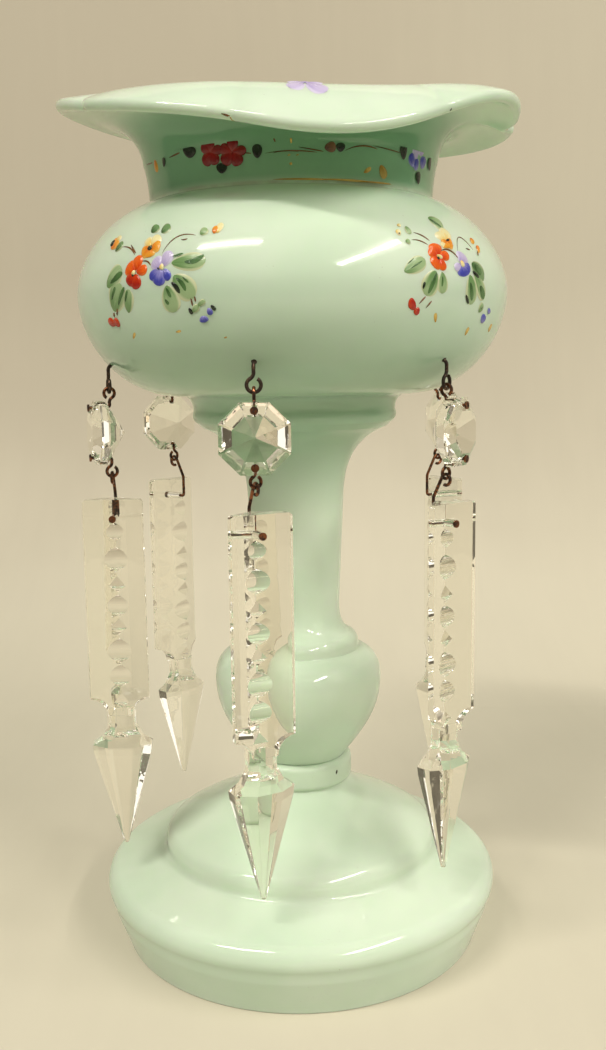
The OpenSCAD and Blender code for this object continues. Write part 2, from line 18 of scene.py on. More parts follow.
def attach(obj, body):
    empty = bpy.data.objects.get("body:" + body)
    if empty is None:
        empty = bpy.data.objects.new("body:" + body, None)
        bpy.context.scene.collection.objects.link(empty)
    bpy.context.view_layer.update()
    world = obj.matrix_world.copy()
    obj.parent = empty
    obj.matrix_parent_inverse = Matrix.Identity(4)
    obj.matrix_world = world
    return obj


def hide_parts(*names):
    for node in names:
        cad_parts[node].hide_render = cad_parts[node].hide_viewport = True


MM = 0.001
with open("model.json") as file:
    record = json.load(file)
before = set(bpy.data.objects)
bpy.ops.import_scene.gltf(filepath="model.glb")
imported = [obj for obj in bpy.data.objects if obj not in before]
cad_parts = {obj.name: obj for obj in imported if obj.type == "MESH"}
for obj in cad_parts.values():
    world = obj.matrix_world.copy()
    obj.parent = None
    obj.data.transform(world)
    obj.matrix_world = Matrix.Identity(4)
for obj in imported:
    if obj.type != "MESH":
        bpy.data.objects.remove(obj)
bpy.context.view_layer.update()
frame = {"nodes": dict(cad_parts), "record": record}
nodes = frame["nodes"]

# %% [markdown]
# ## The camera
#
# The lens and the viewpoint come first, because every later choice is judged through them.
# They follow from the ellipses of the foot and rim and from the known length of the
# prisms: the camera stands close, at the height of the bowl's underside, tips down a little
# and leans by less than a degree.

# %% Camera
IMAGE_HEIGHT = 1050
FOCAL_PIXELS = 1041
SENSOR = 36
camera_place = (2.6 * MM, -385.8 * MM, 210.6 * MM)
tip_down = math.radians(8.29)
lean = math.radians(0.785)

lens = bpy.data.cameras.new("studio_lens")
lens.sensor_fit = "VERTICAL"
lens.sensor_height = SENSOR
lens.lens = SENSOR * FOCAL_PIXELS / IMAGE_HEIGHT
lens.clip_start = 0.01
camera = bpy.data.objects.new("studio_camera", lens)
aim = Matrix.Rotation(math.pi / 2 - tip_down, 4, "X") @ Matrix.Rotation(-lean, 4, "Z")
camera.matrix_world = Matrix.Translation(camera_place) @ aim
bpy.context.collection.objects.link(camera)
bpy.context.scene.camera = camera
bpy.context.scene.view_settings.view_transform = "Standard"
print(f"camera: {lens.lens:.1f} mm lens on a {SENSOR} mm frame height")

# %% [markdown]
# ## Shader maths as plain expressions
#
# A finish is a small sum over noise, distance and colour. Wrapping a socket in a class with
# the usual operators lets such a sum read like arithmetic, and one more method adds any
# other node: its settings first, then the values or links of its sockets.


# %% Signal
class Signal:
    """One output socket of a shader tree, with the arithmetic of Math nodes."""

    def __init__(self, tree, socket):
        self.tree = tree
        self.socket = socket

    def node(self, kind, settings=None, inputs=None, output=0):
        """Adds any node: settings first, then its sockets by name or number."""
        made = self.tree.nodes.new(kind)
        for key, value in (settings or {}).items():
            setattr(made, key, value)
        for key, value in (inputs or {}).items():
            if isinstance(value, Signal):
                self.tree.links.new(value.socket, made.inputs[key])
            else:
                made.inputs[key].default_value = value
        return Signal(self.tree, made.outputs[output])

    def maths(self, operation, *values):
        """A Math node over this socket and other values, in the order given."""
        inputs = dict(enumerate(values))
        return self.node("ShaderNodeMath", {"operation": operation}, inputs)

    def __add__(self, other):
        return self.maths("ADD", self, other)

    def __radd__(self, other):
        return self.maths("ADD", other, self)

    def __sub__(self, other):
        return self.maths("SUBTRACT", self, other)

    def __rsub__(self, other):
        return self.maths("SUBTRACT", other, self)

    def __mul__(self, other):
        return self.maths("MULTIPLY", self, other)

    def __rmul__(self, other):
        return self.maths("MULTIPLY", other, self)

    def __pow__(self, other):
        return self.maths("POWER", self, other)

    def step(self, low, high):
        """A smooth rise from 0 at low to 1 at high; low may be the larger."""
        flip = low > high
        inputs = {"Value": self, "From Min": min(low, high), "From Max": max(low, high)}
        rise = self.node("ShaderNodeMapRange", {"interpolation_type": "SMOOTHSTEP"}, inputs)
        return 1 - rise if flip else rise

    def noise(self, size, detail, rough=0.5):
        """Cloudy noise about 0.5 whose features are about as large as size, in the vector's units."""
        inputs = {"Vector": self, "Scale": 1 / size, "Detail": detail, "Roughness": rough}
        return self.node("ShaderNodeTexNoise", None, inputs)

    def mix(self, first, second):
        """A colour between two colours, with this socket as the factor."""
        inputs = {0: self, 6: colour_of(first), 7: colour_of(second)}
        return self.node("ShaderNodeMix", {"data_type": "RGBA"}, inputs, 2)

    def part(self, axis):
        """One coordinate of a vector: 0, 1 or 2."""
        return self.node("ShaderNodeSeparateXYZ", None, {0: self}, axis)

    def off_axis(self):
        """Distance of a place from the upright axis: the root of x squared plus y squared."""
        x, y = self.part(0), self.part(1)
        return (x * x + y * y) ** 0.5

    def bump(self, height, strength):
        """A normal from this signal as a relief: height is how far 0 lies below 1, in metres."""
        inputs = {"Strength": strength, "Distance": height, "Height": self}
        return self.node("ShaderNodeBump", None, inputs)


def colour_of(value):
    """A link as it is, or three numbers as an opaque colour."""
    return value if isinstance(value, Signal) else (*value, 1)


def start_finish(name, **constants):
    """A material with a Principled shader; constants go straight onto its sockets."""
    made = bpy.data.materials.new(name)
    made.use_nodes = True
    tree = made.node_tree
    shader = tree.nodes["Principled BSDF"]
    for key, value in constants.items():
        socket = shader.inputs[key.replace("_", " ")]
        socket.default_value = (*value, 1) if key == "Base_Color" else value
    places = tree.nodes.new("ShaderNodeTexCoord")
    return made, shader, Signal(tree, places.outputs["Object"]), Signal(tree, places.outputs["UV"])


def feed(shader, **signals):
    """Links signals into a shader's sockets by name."""
    for key, signal in signals.items():
        signal.tree.links.new(signal.socket, shader.inputs[key.replace("_", " ")])


print("signal: operators and nodes ready")

# %% [markdown]
# ## Grids of points
#
# Nearly every piece here is a surface over two parameters. The points come as one array of
# rows and columns, and one function turns any such array into quads, closing it where the
# surface meets itself.


# %% Surface from a grid
def grid_faces(rows, columns, wrap):
    """Quads between neighbouring points of a grid, the last column joined to the first if wrap."""
    row = np.arange(rows - 1)[:, None]
    column = np.arange(columns if wrap else columns - 1)[None, :]
    here = row * columns + column
    beside = row * columns + (column + 1) % columns
    return np.stack([here, beside, beside + columns, here + columns], -1).reshape(-1, 4)


def new_piece(name, points, faces, finish):
    """A smooth object at the origin from an array of points and an array of equal faces."""
    mesh = bpy.data.meshes.new(name)
    mesh.from_pydata(points.reshape(-1, 3).tolist(), [], faces.tolist())
    mesh.polygons.foreach_set("use_smooth", np.full(len(mesh.polygons), True))
    mesh.materials.append(finish)
    mesh.update()
    piece = bpy.data.objects.new(name, mesh)
    bpy.context.collection.objects.link(piece)
    return piece


# Radius in millimetres of the ring that closes a surface at the axis
POLE_R = 0.001


def round_axis(radius, height, azimuth):
    """Points in metres from radius and height in millimetres and degrees from the front."""
    turn = np.radians(azimuth)
    points = np.broadcast_arrays(radius * np.sin(turn), -radius * np.cos(turn), height)
    return np.stack(points, -1) * MM


def turned(name, outline, finish, around=360):
    """A turned piece: an outline of radius and height carried round the axis."""
    azimuth = np.linspace(0, 360, around, endpoint=False)
    radius = np.maximum(outline[:, :1], POLE_R)
    points = round_axis(radius, outline[:, 1:], azimuth)
    return new_piece(name, points, grid_faces(len(outline), around, True), finish)


print("grids: ready")

# %% [markdown]
# An outline is drawn as a turner would draw it: straight runs, arcs and a few free curves,
# each made of as many points as it needs and joined end to end.


# %% Outlines
def cubic_at(points, t):
    """The cubic curve of four points, t of the way along: it is pulled towards the middle two."""
    back = 1 - t
    return (back**3 * points[0] + 3 * t * back**2 * points[1]
            + 3 * t**2 * back * points[2] + t**3 * points[3])


def cubic(points, count):
    """A cubic curve as a row of points."""
    return cubic_at(np.asarray(points, float), np.linspace(0, 1, count)[:, None])


def arc(centre, radius, start, end, count):
    """A circular arc between two angles in degrees."""
    turn = np.radians(np.linspace(start, end, count))
    return np.asarray(centre, float) + radius * np.stack([np.cos(turn), np.sin(turn)], -1)


def lead(turn, length):
    """A run along the tangent of an arc that ends at an angle in degrees."""
    angle = math.radians(turn)
    return length * np.array([-math.sin(angle), math.cos(angle)])


def quarter(middle, half, rise, fullness, start, end, count):
    """A superellipse quarter from its widest ring inward: fullness 2 is an ellipse."""
    turn = np.radians(np.linspace(start, end, count))
    across = middle + half * np.cos(turn) ** (2 / fullness)
    return np.stack([across, rise * np.sin(turn) ** (2 / fullness)], -1)


def line(start, end, count):
    """Points of a straight line, its ends left out."""
    t = np.linspace(0, 1, count + 2)[1:-1, None]
    return np.asarray(start, float) * (1 - t) + np.asarray(end, float) * t


print("outlines: ready")

# %% [markdown]
# ## Opaline glass
#
# Opaline is glass made milky with bone ash or tin. It takes light in and gives it back
# softly from below the surface, so a plain painted green would look dead. The shader gives
# it a little scattering under a polished skin. Faint clouds come from the melt, a slight
# wave in the skin from the tool that shaped it, and specks and a dull film from a century of
# dust.

# %% Opaline finish
MINT = (0.635, 0.775, 0.595)
MILK = (0.725, 0.84, 0.675)
DUST = (0.40, 0.38, 0.28)
SPECK_SHARE = 0.6


def opaline_finish(name):
    """Milky green glass: clouds of two tints, specks, and a film that dulls the polish."""
    made, shader, place, _ = start_finish(
        name, IOR=1.5, Subsurface_Weight=0.25, Subsurface_Scale=0.006, Subsurface_Radius=(0.7, 1.0, 0.6)
    )
    cloud = place.noise(0.045, 3).step(0.3, 0.7)
    speck = place.noise(0.0011, 1).step(0.76, 0.82) * place.noise(0.02, 2).step(0.5, 0.65)
    film = place.noise(0.016, 4, 0.6).step(0.35, 0.75)
    glass = (speck * SPECK_SHARE).mix(cloud.mix(MINT, MILK), DUST)
    wave = place.noise(0.03, 1) + 0.04 * place.noise(0.004, 2)
    feed(shader, Roughness=0.05 + 0.06 * film, Normal=wave.bump(0.0004, 0.4))
    return made, shader, place, glass


opaline, opaline_shader, _, opaline_colour = opaline_finish("opaline")
feed(opaline_shader, Base_Color=opaline_colour)
print("opaline: clouds, specks and film")

# %% [markdown]
# ## The foot
#
# The foot was pressed in a mould: a plain flaring wall, a rolled edge that stands out
# over it, a sloping step that ends in a groove, a dome with a rounded edge and a bead.
# One outline carried round the axis gives it, with the hollow underneath as part of the same
# outline, so that the rim it stands on has its true width. The straight step touches both
# the edge's arc and the groove's arc, so its length and the groove's height follow from the
# slope.

# %% Foot
FOOT_H, FOOT_BASE_R, EDGE = 67, 67.7, 1.2
FOOT_R, FOOT_WIDE_Z, FOOT_EDGE_R, UNDER_EDGE = 74.2, 20.8, 6, -26
FOOT_SIDE_R, FOOT_SIDE_Z = 72.1, 13
STEP_SLOPE, GROOVE_R = 15.6, 2.5
DOME_R, DOME_ROUND, DOME_STEEP, DOME_TURN, DOME_RISE = 51.8, 6.3, 3, 58, 1
BEAD_R, BEAD_H, BEAD_UNDER, BEAD_OVER = 20, 10, -60, 85
HOLLOW_R, HOLLOW_H, HOLLOW_FULL, HOLLOW_CHAMFER = 54, 26, 2.4, 0.3
HOLLOW_MID, HOLLOW_END = 89, 2
SEAT_R, SEAT_EDGE = 17.6, 1
# How far the free curves are pulled from their ends
WALL_PULL, ROLL_PULL = (0.5, 1.4), (0.8, 1.7)
DOME_LEAD, DOME_PULL = 12, (5.4, -5.8)

slope = math.radians(STEP_SLOPE)
rolls = FOOT_EDGE_R + GROOVE_R
step_l = (FOOT_R - FOOT_EDGE_R + rolls * math.sin(slope) - DOME_R - GROOVE_R) / math.cos(slope)
groove_z = FOOT_WIDE_Z + rolls * math.cos(slope) + step_l * math.sin(slope)
edge_roll = arc((FOOT_R - FOOT_EDGE_R, FOOT_WIDE_Z), FOOT_EDGE_R, UNDER_EDGE, 90 - STEP_SLOPE, 40)
wall_top = np.array([FOOT_SIDE_R, FOOT_SIDE_Z])
groove = arc((DOME_R + GROOVE_R, groove_z), GROOVE_R, 270 - STEP_SLOPE, 180 + DOME_STEEP, 12)
dome_edge = arc((DOME_R - DOME_ROUND, groove_z + DOME_RISE), DOME_ROUND, DOME_STEEP, DOME_TURN, 16)
dome_start = dome_edge[-1]
dome_end = np.array([BEAD_R - EDGE, FOOT_H - BEAD_H])
bead_round = BEAD_H / 4
bead_mid_r = BEAD_R - bead_round
hollow = quarter(0, HOLLOW_R - EDGE, HOLLOW_H - EDGE, HOLLOW_FULL, HOLLOW_MID, HOLLOW_END, 40) + (0, EDGE)
foot_outline = np.concatenate([
    line((HOLLOW_R, 0), (FOOT_BASE_R - EDGE, 0), 4),
    arc((FOOT_BASE_R - EDGE, EDGE), EDGE, -90, 0, 6),
    line((FOOT_BASE_R, EDGE), wall_top, 14),
    cubic([wall_top, wall_top + WALL_PULL, edge_roll[0] - ROLL_PULL, edge_roll[0]], 12)[:-1],
    edge_roll,
    line(edge_roll[-1], groove[0], 8),
    groove,
    dome_edge,
    cubic([dome_start, dome_start + lead(DOME_TURN, DOME_LEAD), dome_end + DOME_PULL, dome_end], 36)[1:],
    arc((bead_mid_r, FOOT_H - BEAD_H + bead_round), bead_round, BEAD_UNDER, 0, 10),
    arc((bead_mid_r, FOOT_H - bead_round), bead_round, 0, BEAD_OVER, 10),
    [(SEAT_R - SEAT_EDGE, FOOT_H), (0, FOOT_H), (0, HOLLOW_H)],
    hollow,
    [(HOLLOW_R - HOLLOW_CHAMFER, EDGE / 3), (HOLLOW_R, 0)],
])
foot = turned("foot_glass", foot_outline, opaline)
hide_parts("foot")
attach(foot, "stand")
print("foot:", len(foot.data.polygons), "quads")

# %% [markdown]
# ## The stem
#
# The stem has a knop shaped like an upturned bell, a rounded ring on it, a slim shaft and a
# collar that flares into the bowl. Cubic curves carry the swelling parts and arcs round the
# rings, as a wood turner would read the shape off a drawing. The collar lies in the shade of
# the bowl above it, and that shade is painted into the finish as a deeper green that grows with the height.

# %% Stem
STEM_H, KNOP_R, KNOP_Z, KNOP_TOP = 136, 31.4, 30, 41.3
RING_R, RING_H, RING_ROUND, RING_TURN = 23, 6, 4.5, 65
SHAFT_R, SHAFT_TOP_R, SHAFT_RISE, FLARE_H = 15.9, 17.9, 10.5, 29
COLLAR_R, COLLAR_H, COLLAR_OUT = 37.4, 7, 3.6
BAND_ROUND, BAND_UNDER, BAND_TURN, BAND_STEP = 3.5, -65, 25, 1.2
# How far the free curves are pulled; the cap of the knop has shares of its own height and width
BELL_OUT, BELL_LOW, BELL_HIGH = 6, 8.4, 16.5
CAP_STEEP, CAP_OUT, CAP_FLAT = 0.58, 0.65, 0.91
RING_LEAD, SHAFT_PULL = 3, 4.2
FLARE_LOW, FLARE_HIGH = (0.7, 12), (4.6, 20)
COLLAR_LOW, COLLAR_HIGH = (4.1, 3), (3, 0.4)

cap_h = KNOP_TOP - KNOP_Z
cap_r = RING_R + CAP_OUT * (KNOP_R - RING_R)
ring_mid_z = KNOP_TOP + RING_H - RING_ROUND * math.sin(math.radians(RING_TURN))
ring = arc((RING_R - RING_ROUND, ring_mid_z), RING_ROUND, 0, RING_TURN, 18)
ring_end = ring[-1]
shaft_low = np.array([SHAFT_R, ring_end[1] + SHAFT_RISE])
collar_z = STEM_H - COLLAR_H
flare = np.array([SHAFT_TOP_R, collar_z - FLARE_H])
flare_end = (COLLAR_R - BAND_ROUND, collar_z - BAND_ROUND - BAND_STEP)
band = arc((COLLAR_R - BAND_ROUND, collar_z), BAND_ROUND, BAND_UNDER, BAND_TURN, 18)
collar_top = np.array([COLLAR_R + COLLAR_OUT, STEM_H])
stem_outline = np.concatenate([
    [(0, 0)],
    cubic([(SEAT_R, 0), (SEAT_R + BELL_OUT, BELL_LOW), (KNOP_R, BELL_HIGH), (KNOP_R, KNOP_Z)], 40),
    cubic([(KNOP_R, KNOP_Z), (KNOP_R, KNOP_Z + CAP_STEEP * cap_h),
           (cap_r, KNOP_Z + CAP_FLAT * cap_h), (RING_R, KNOP_TOP)], 28)[1:],
    line((RING_R, KNOP_TOP), ring[0], 3),
    ring,
    cubic([ring_end, ring_end + lead(RING_TURN, RING_LEAD),
           (SHAFT_R, ring_end[1] + SHAFT_PULL), shaft_low], 20)[1:],
    line(shaft_low, flare, 14),
    cubic([flare, flare + FLARE_LOW, flare + FLARE_HIGH, flare_end], 40),
    band,
    cubic([band[-1], collar_top - COLLAR_LOW, collar_top - COLLAR_HIGH, collar_top], 16)[1:],
    [(0, STEM_H)],
])
# Painted shade: the collar under the bowl turns a deeper green with the height
UNDER_BOWL_SHADE, UNDER_BOWL_SHADE_SHARE = (0.36, 0.60, 0.40), 0.6
SEAT_Z = FOOT_H + STEM_H
opaline_stem, stem_shader, place, glass = opaline_finish("opaline_stem")
collar_shade = place.part(2).step((SEAT_Z - 48) * MM, (SEAT_Z - 8) * MM)
feed(stem_shader, Base_Color=(UNDER_BOWL_SHADE_SHARE * collar_shade).mix(glass, UNDER_BOWL_SHADE))
stem = turned("stem_glass", stem_outline + (0, FOOT_H), opaline_stem)
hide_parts("stem")
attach(stem, "stand")
print("stem:", len(stem.data.polygons), "quads")

# %% [markdown]
# ## The vase
#
# Bowl, neck and rim were blown in one piece, and the rim was drawn out into lobes with a
# tool while it was soft. The section changes with the angle only above the neck, so the
# vase is still a grid: the rows run up the outside, over the lip and down the inside, and
# the columns run round. The height of the lip bows between uneven joints, where the lobes
# meet in soft notches.

# %% Vase section
BOWL_R, BOWL_LOW, BOWL_HIGH, BOWL_FLAT_R = 76.5, 35, 32.5, 43
LOW_FULL, HIGH_FULL = 1.9, 1.8
NECK_R, NECK_H, NECK_FLARE, WALL, FLOOR = 50.3, 14, 1.8, 4.8, 6
RIM_R, LOBE_OUT, LIP_T, CREST_H = 78.5, 3, 4, 15
CREST_LEAN, CREST_FOLLOW = 2, 0.26
LOBE_EDGES = np.array([-57, -12, 37, 84, 158, 230, 303])
LOBE_JOINT_H = np.array([12, 1, 5, 11.5, 18, 21, 12])
LOBE_BOW = np.array([-0.5, -6.5, 5, -1, 2, 4.5])
LOBE_NICK = np.array([0.7, 0.5, 0.4, 2.4, 0.8, 0.9, 0.7])
NICK_TURN = 2.2

bowl_z = SEAT_Z + BOWL_LOW
bowl_half = BOWL_R - BOWL_FLAT_R
inner_r, inner_flat_r = BOWL_R - WALL, BOWL_FLAT_R - FLOOR / 2
inner_half = inner_r - inner_flat_r


def quarter_end(middle, half, fullness, radius):
    """The angle in degrees at which a superellipse quarter has shrunk to a radius."""
    return math.degrees(math.acos(((radius - middle) / half) ** (fullness / 2)))


def lip(angle):
    """Height above the neck and radius of the lip at angles from the front, in degrees."""
    turn = (angle - LOBE_EDGES[0]) % 360 + LOBE_EDGES[0]
    lobe = np.searchsorted(LOBE_EDGES, turn, side="right") - 1
    share = (turn - LOBE_EDGES[lobe]) / (LOBE_EDGES[lobe + 1] - LOBE_EDGES[lobe])
    bow = np.sin(np.pi * share)
    height = LOBE_JOINT_H[lobe] * (1 - share) + LOBE_JOINT_H[lobe + 1] * share + LOBE_BOW[lobe] * bow
    off_joint = (turn[..., None] - LOBE_EDGES) / NICK_TURN
    nick = np.exp(-(off_joint**2)) @ LOBE_NICK
    return height, RIM_R + LOBE_OUT * bow - nick


end_low = quarter_end(BOWL_FLAT_R, bowl_half, HIGH_FULL, NECK_R)
under_bowl = quarter(BOWL_FLAT_R, bowl_half, BOWL_LOW, LOW_FULL, 90, 0, 44) * (1, -1) + (0, bowl_z)
shoulder = quarter(BOWL_FLAT_R, bowl_half, BOWL_HIGH, HIGH_FULL, 0, end_low, 44)[1:] + (0, bowl_z)
neck_z = shoulder[-1, 1]
neck_top = neck_z + NECK_H
up = np.linspace(0, 1, 14)[1:-1, None]
neck_out = np.concatenate([NECK_R + NECK_FLARE * up**2, neck_z + NECK_H * up], 1)
neck_in = (neck_out - (WALL, 0))[::-1]
end_high = quarter_end(inner_flat_r, inner_half, HIGH_FULL, NECK_R - WALL)
inside_high = quarter(inner_flat_r, inner_half, BOWL_HIGH - WALL, HIGH_FULL, end_high, 0, 30) + (0, bowl_z)
inside_floor = quarter(inner_flat_r, inner_half, BOWL_LOW - FLOOR, LOW_FULL, 0, 90, 30)[1:]
inside_low = inside_floor * (1, -1) + (0, bowl_z)
print(f"vase: neck from {neck_z:.1f} mm to {neck_top:.1f} mm")

# %% Vase surface
AROUND = 384
FLAT_EDGE = 6


def rim_curve(angle, t):
    """Middle of the rim's wall, its direction and its normal, t of the way from neck to lip.

    The wall follows a cubic whose handles depend on the angle: it rises from the neck, leans
    over its crest and ends at the lip. The results hold radius and height."""
    height, reach = lip(angle)
    crest_r = NECK_R - WALL / 2 + NECK_FLARE
    zero = np.zeros_like(angle)
    p = np.array([
        [crest_r + zero, neck_top + zero],
        [crest_r + CREST_LEAN + zero, neck_top + CREST_H + zero],
        [(crest_r + reach) / 2, neck_top + CREST_H + CREST_FOLLOW * height],
        [reach - LIP_T / 2, neck_top + height],
    ])
    middle = cubic_at(p, t)
    slope = (1 - t) ** 2 * (p[1] - p[0]) + 2 * t * (1 - t) * (p[2] - p[1]) + t**2 * (p[3] - p[2])
    slope = slope / np.linalg.norm(slope, axis=-2, keepdims=True)
    return middle, slope, np.stack([-slope[..., 1, :], slope[..., 0, :]], -2)


def rim_half(t):
    """Half the thickness of the wall, t of the way from neck to lip."""
    return (WALL + (LIP_T - WALL) * t) / 2


def rim_rows(angle, count=30, lip_count=10):
    """Rows of the rim at many angles: out along the under side, round the lip and back on top."""
    t = np.linspace(0, 1, count)[:, None, None]
    middle, slope, normal = rim_curve(angle, t)
    round_lip = np.radians(np.linspace(-90, 90, lip_count))[1:-1, None, None]
    end = middle[-1] + LIP_T / 2 * (np.cos(round_lip) * slope[-1] + np.sin(round_lip) * normal[-1])
    return np.concatenate([middle - rim_half(t) * normal, end, (middle + rim_half(t) * normal)[::-1]])


angle = np.linspace(0, 360, AROUND, endpoint=False)
rim = rim_rows(angle)


def all_round(outline):
    """An outline that is the same at every angle, as rows of radius and height."""
    return np.broadcast_to(np.asarray(outline, float)[:, :, None], (len(outline), 2, AROUND))


section = np.concatenate([
    all_round([(POLE_R, SEAT_Z), (BOWL_FLAT_R - FLAT_EDGE, SEAT_Z)]),
    all_round(under_bowl), all_round(shoulder), all_round(neck_out), rim, all_round(neck_in),
    all_round(inside_high), all_round(inside_low), all_round([(POLE_R, SEAT_Z + FLOOR)]),
])
vase_points = round_axis(section[:, 0], section[:, 1], angle)
vase_rows = len(section)
print("vase: grid of", vase_rows, "rows and", AROUND, "columns")

# %% [markdown]
# The vase has its own finish. The wall of the neck is thin and lies in the shade of the rim,
# and that shade is painted into its colour as a deeper green. Under the bowl a lighter painted
# shade does the same. Dust has settled in the crease between neck and shoulder. All three are
# masks of height and distance from the axis.

# %% Vase finish and piece
NECK_RIM_SHADE = (0.25, 0.48, 0.28)
NECK_RIM_SHADE_SHARE, LOW_BOWL_SHADE_SHARE, DUST_SHARE = 0.92, 0.38, 0.5
opaline_neck, neck_shader, place, glass = opaline_finish("opaline_neck")
from_axis, rise = place.off_axis(), place.part(2)
# Painted shade: the outside of the neck under the rim is painted a deeper green
thin = from_axis.step(66 * MM, 54 * MM) * rise.step((neck_z - 1) * MM, (neck_z + 3) * MM)
# Painted shade: the bowl turns a little deeper green towards its underside
low_bowl_shade = rise.step((bowl_z + 8) * MM, (SEAT_Z + 4) * MM)
crease = rise.step((neck_z - 0.8) * MM, neck_z * MM) * rise.step((neck_z + 1.4) * MM, (neck_z + 0.5) * MM)
settled = crease * from_axis.step(54 * MM, 53 * MM) * place.noise(0.012, 3).step(0.45, 0.65)
shaded_greens = (NECK_RIM_SHADE_SHARE * thin).mix((LOW_BOWL_SHADE_SHARE * low_bowl_shade).mix(glass, UNDER_BOWL_SHADE), NECK_RIM_SHADE)
feed(neck_shader, Base_Color=(DUST_SHARE * settled).mix(shaded_greens, DUST))
vase = new_piece("vase_glass", vase_points, grid_faces(vase_rows, AROUND, True), opaline_neck)
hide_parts("vase")
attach(vase, "stand")
print("vase:", len(vase.data.polygons), "quads")

# %% [markdown]
# ## Painted enamel
#
# The flowers are enamel: coloured glass powder brushed on as a paste and fired, so that each
# touch of the brush stays as a small raised drop. An image on the glass would leave them
# flat, so each touch is a domed patch that follows the surface. A row of the painter's plan
# says where the brush came down, where it was lifted and how wide it spread, in millimetres
# on the glass, to the right and up from the middle of the spray. A sixth number bends the
# stroke aside by a share of its length.


# %% Brush touches
outside = np.concatenate([under_bowl, shoulder, neck_out])
climb = np.concatenate([[0], np.cumsum(np.linalg.norm(np.diff(outside, axis=0), axis=1))])
outside_slope = np.gradient(outside, climb, axis=0)
TOUCH_ALONG, TOUCH_ACROSS = 15, 9
BLUNT, TAIL = 0.97, 0.25
SUNK, OVERLAP = 0.05, 0.02


def on_outside(azimuth, reach, lift):
    """Places on the outside of the vase: reach runs up its outline, lift stands off it."""
    columns = (*outside.T, *outside_slope.T)
    radius, height, run_r, run_z = (np.interp(reach, climb, column) for column in columns)
    long = np.hypot(run_r, run_z)
    return round_axis(radius + lift * run_z / long, height - lift * run_r / long, azimuth)


def on_rim(azimuth, t, lift):
    """Places on top of the rim, t of the way from the neck to the lip."""
    flat_t = np.ravel(t)
    middle, _, normal = rim_curve(np.ravel(azimuth), flat_t)
    radius, height = middle + (rim_half(flat_t) + np.ravel(lift)) * normal
    return round_axis(radius, height, np.ravel(azimuth)).reshape(*np.shape(t), 3)


def on_lip(azimuth, turn_up, lift):
    """Places on the round lip, turned up in degrees from the middle of its edge."""
    middle, slope, normal = rim_curve(np.ravel(azimuth), np.ones(np.size(azimuth)))
    up = np.radians(np.ravel(turn_up))
    radius, height = middle + (LIP_T / 2 + np.ravel(lift)) * (np.cos(up) * slope + np.sin(up) * normal)
    return round_axis(radius, height, np.ravel(azimuth)).reshape(*np.shape(turn_up), 3)


def touches(rows, thick, base=0.0, broad=1.0):
    """Brush touches as grids of places to the right, up and off the glass, in millimetres.

    Along a touch s runs from -1 to 1. Half its width swells as the root of 1 - BLUNT times s
    squared, and by TAIL more towards the end. The middle line is pushed aside by bend times
    length times 1 - s squared. The lift is a dome over both directions with a sunken edge,
    and each touch lies a little over the one before it."""
    rows = np.asarray([(*row, 0)[:6] for row in rows], float)[:, None, None, :]
    s = np.linspace(-1, 1, TOUCH_ALONG)[:, None]
    across = np.linspace(1, -1, TOUCH_ACROSS)
    run_u, run_v = rows[..., 2] - rows[..., 0], rows[..., 3] - rows[..., 1]
    length = np.hypot(run_u, run_v)
    swell = np.sqrt(1 - BLUNT * s**2)
    half = broad * rows[..., 4] / 2 * swell * (1 + TAIL * s)
    aside = half * across - rows[..., 5] * length * (1 - s**2)
    right = rows[..., 0] + run_u * (s + 1) / 2 - run_v / length * aside
    up = rows[..., 1] + run_v * (s + 1) / 2 + run_u / length * aside
    stack = base + OVERLAP * np.arange(len(rows))[:, None, None]
    lift = stack + (thick + SUNK) * np.sqrt(1 - across**2) * swell - SUNK
    return right, up, lift


def painted(name, patches, finish, seed):
    """One piece from many touch grids, with brush coordinates and a tone for each touch."""
    points = np.concatenate(patches)
    count, size = len(points), TOUCH_ALONG * TOUCH_ACROSS
    one = grid_faces(TOUCH_ALONG, TOUCH_ACROSS, False)
    faces = (one + size * np.arange(count)[:, None, None]).reshape(-1, 4)
    piece = new_piece(name, points, faces, finish)
    shares = np.linspace(0, 1, TOUCH_ALONG), np.linspace(0, 1, TOUCH_ACROSS)
    brush = np.stack(np.meshgrid(*shares, indexing="ij"), -1).reshape(-1, 2)
    corners = np.tile(brush, (count, 1))[faces.ravel()]
    piece.data.uv_layers.new(name="brush").data.foreach_set("uv", corners.ravel())
    tone = np.repeat(np.random.default_rng(seed).random(count), size)
    piece.data.attributes.new("tone", "FLOAT", "POINT").data.foreach_set("value", tone)
    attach(piece, "stand")
    return piece


print(f"enamel: outline of {climb[-1]:.0f} mm to paint on")

# %% [markdown]
# Enamel keeps the marks of the brush: fine ridges along the stroke, a change of colour from
# where it came down to where it was lifted, and an edge where the paste ran thin. Noise that
# is stretched along the stroke gives all three. The tone makes each touch a little different.

# %% Enamel finishes
HAIR_LONG, HAIR_FINE, HAIR_SHIFT = 1.6, 7, 40


def enamel_finish(name, near, far, edge, edge_share=0.5, metal=0.0, cover=1.0):
    """Fired enamel: one colour runs into another along the stroke, with a third at its edge."""
    made, shader, _, brush = start_finish(name, IOR=1.52, Metallic=metal)
    along, across = brush.part(0), brush.part(1)
    tone = brush.node("ShaderNodeAttribute", {"attribute_name": "tone"}, output="Fac")
    hairs = {0: along * HAIR_LONG, 1: across * HAIR_FINE, 2: tone * HAIR_SHIFT}
    ridge = brush.node("ShaderNodeCombineXYZ", None, hairs).noise(1, 3, 0.6)
    turn_to = (along + 0.9 * ridge + 0.3 * tone - 0.6).step(0.1, 0.75)
    off_middle = across - 0.5
    thin = (off_middle.maths("ABSOLUTE", off_middle) + 0.14 * ridge).step(0.36, 0.52)
    colour = (edge_share * thin).mix(turn_to.mix(near, far), edge)
    feed(shader, Base_Color=colour, Roughness=0.14 + 0.2 * ridge, Normal=ridge.bump(0.0003, 0.5))
    if cover < 1:
        feed(shader, Alpha=(1 - thin) * (ridge + cover - 0.5).step(0.35, 0.6))
    return made
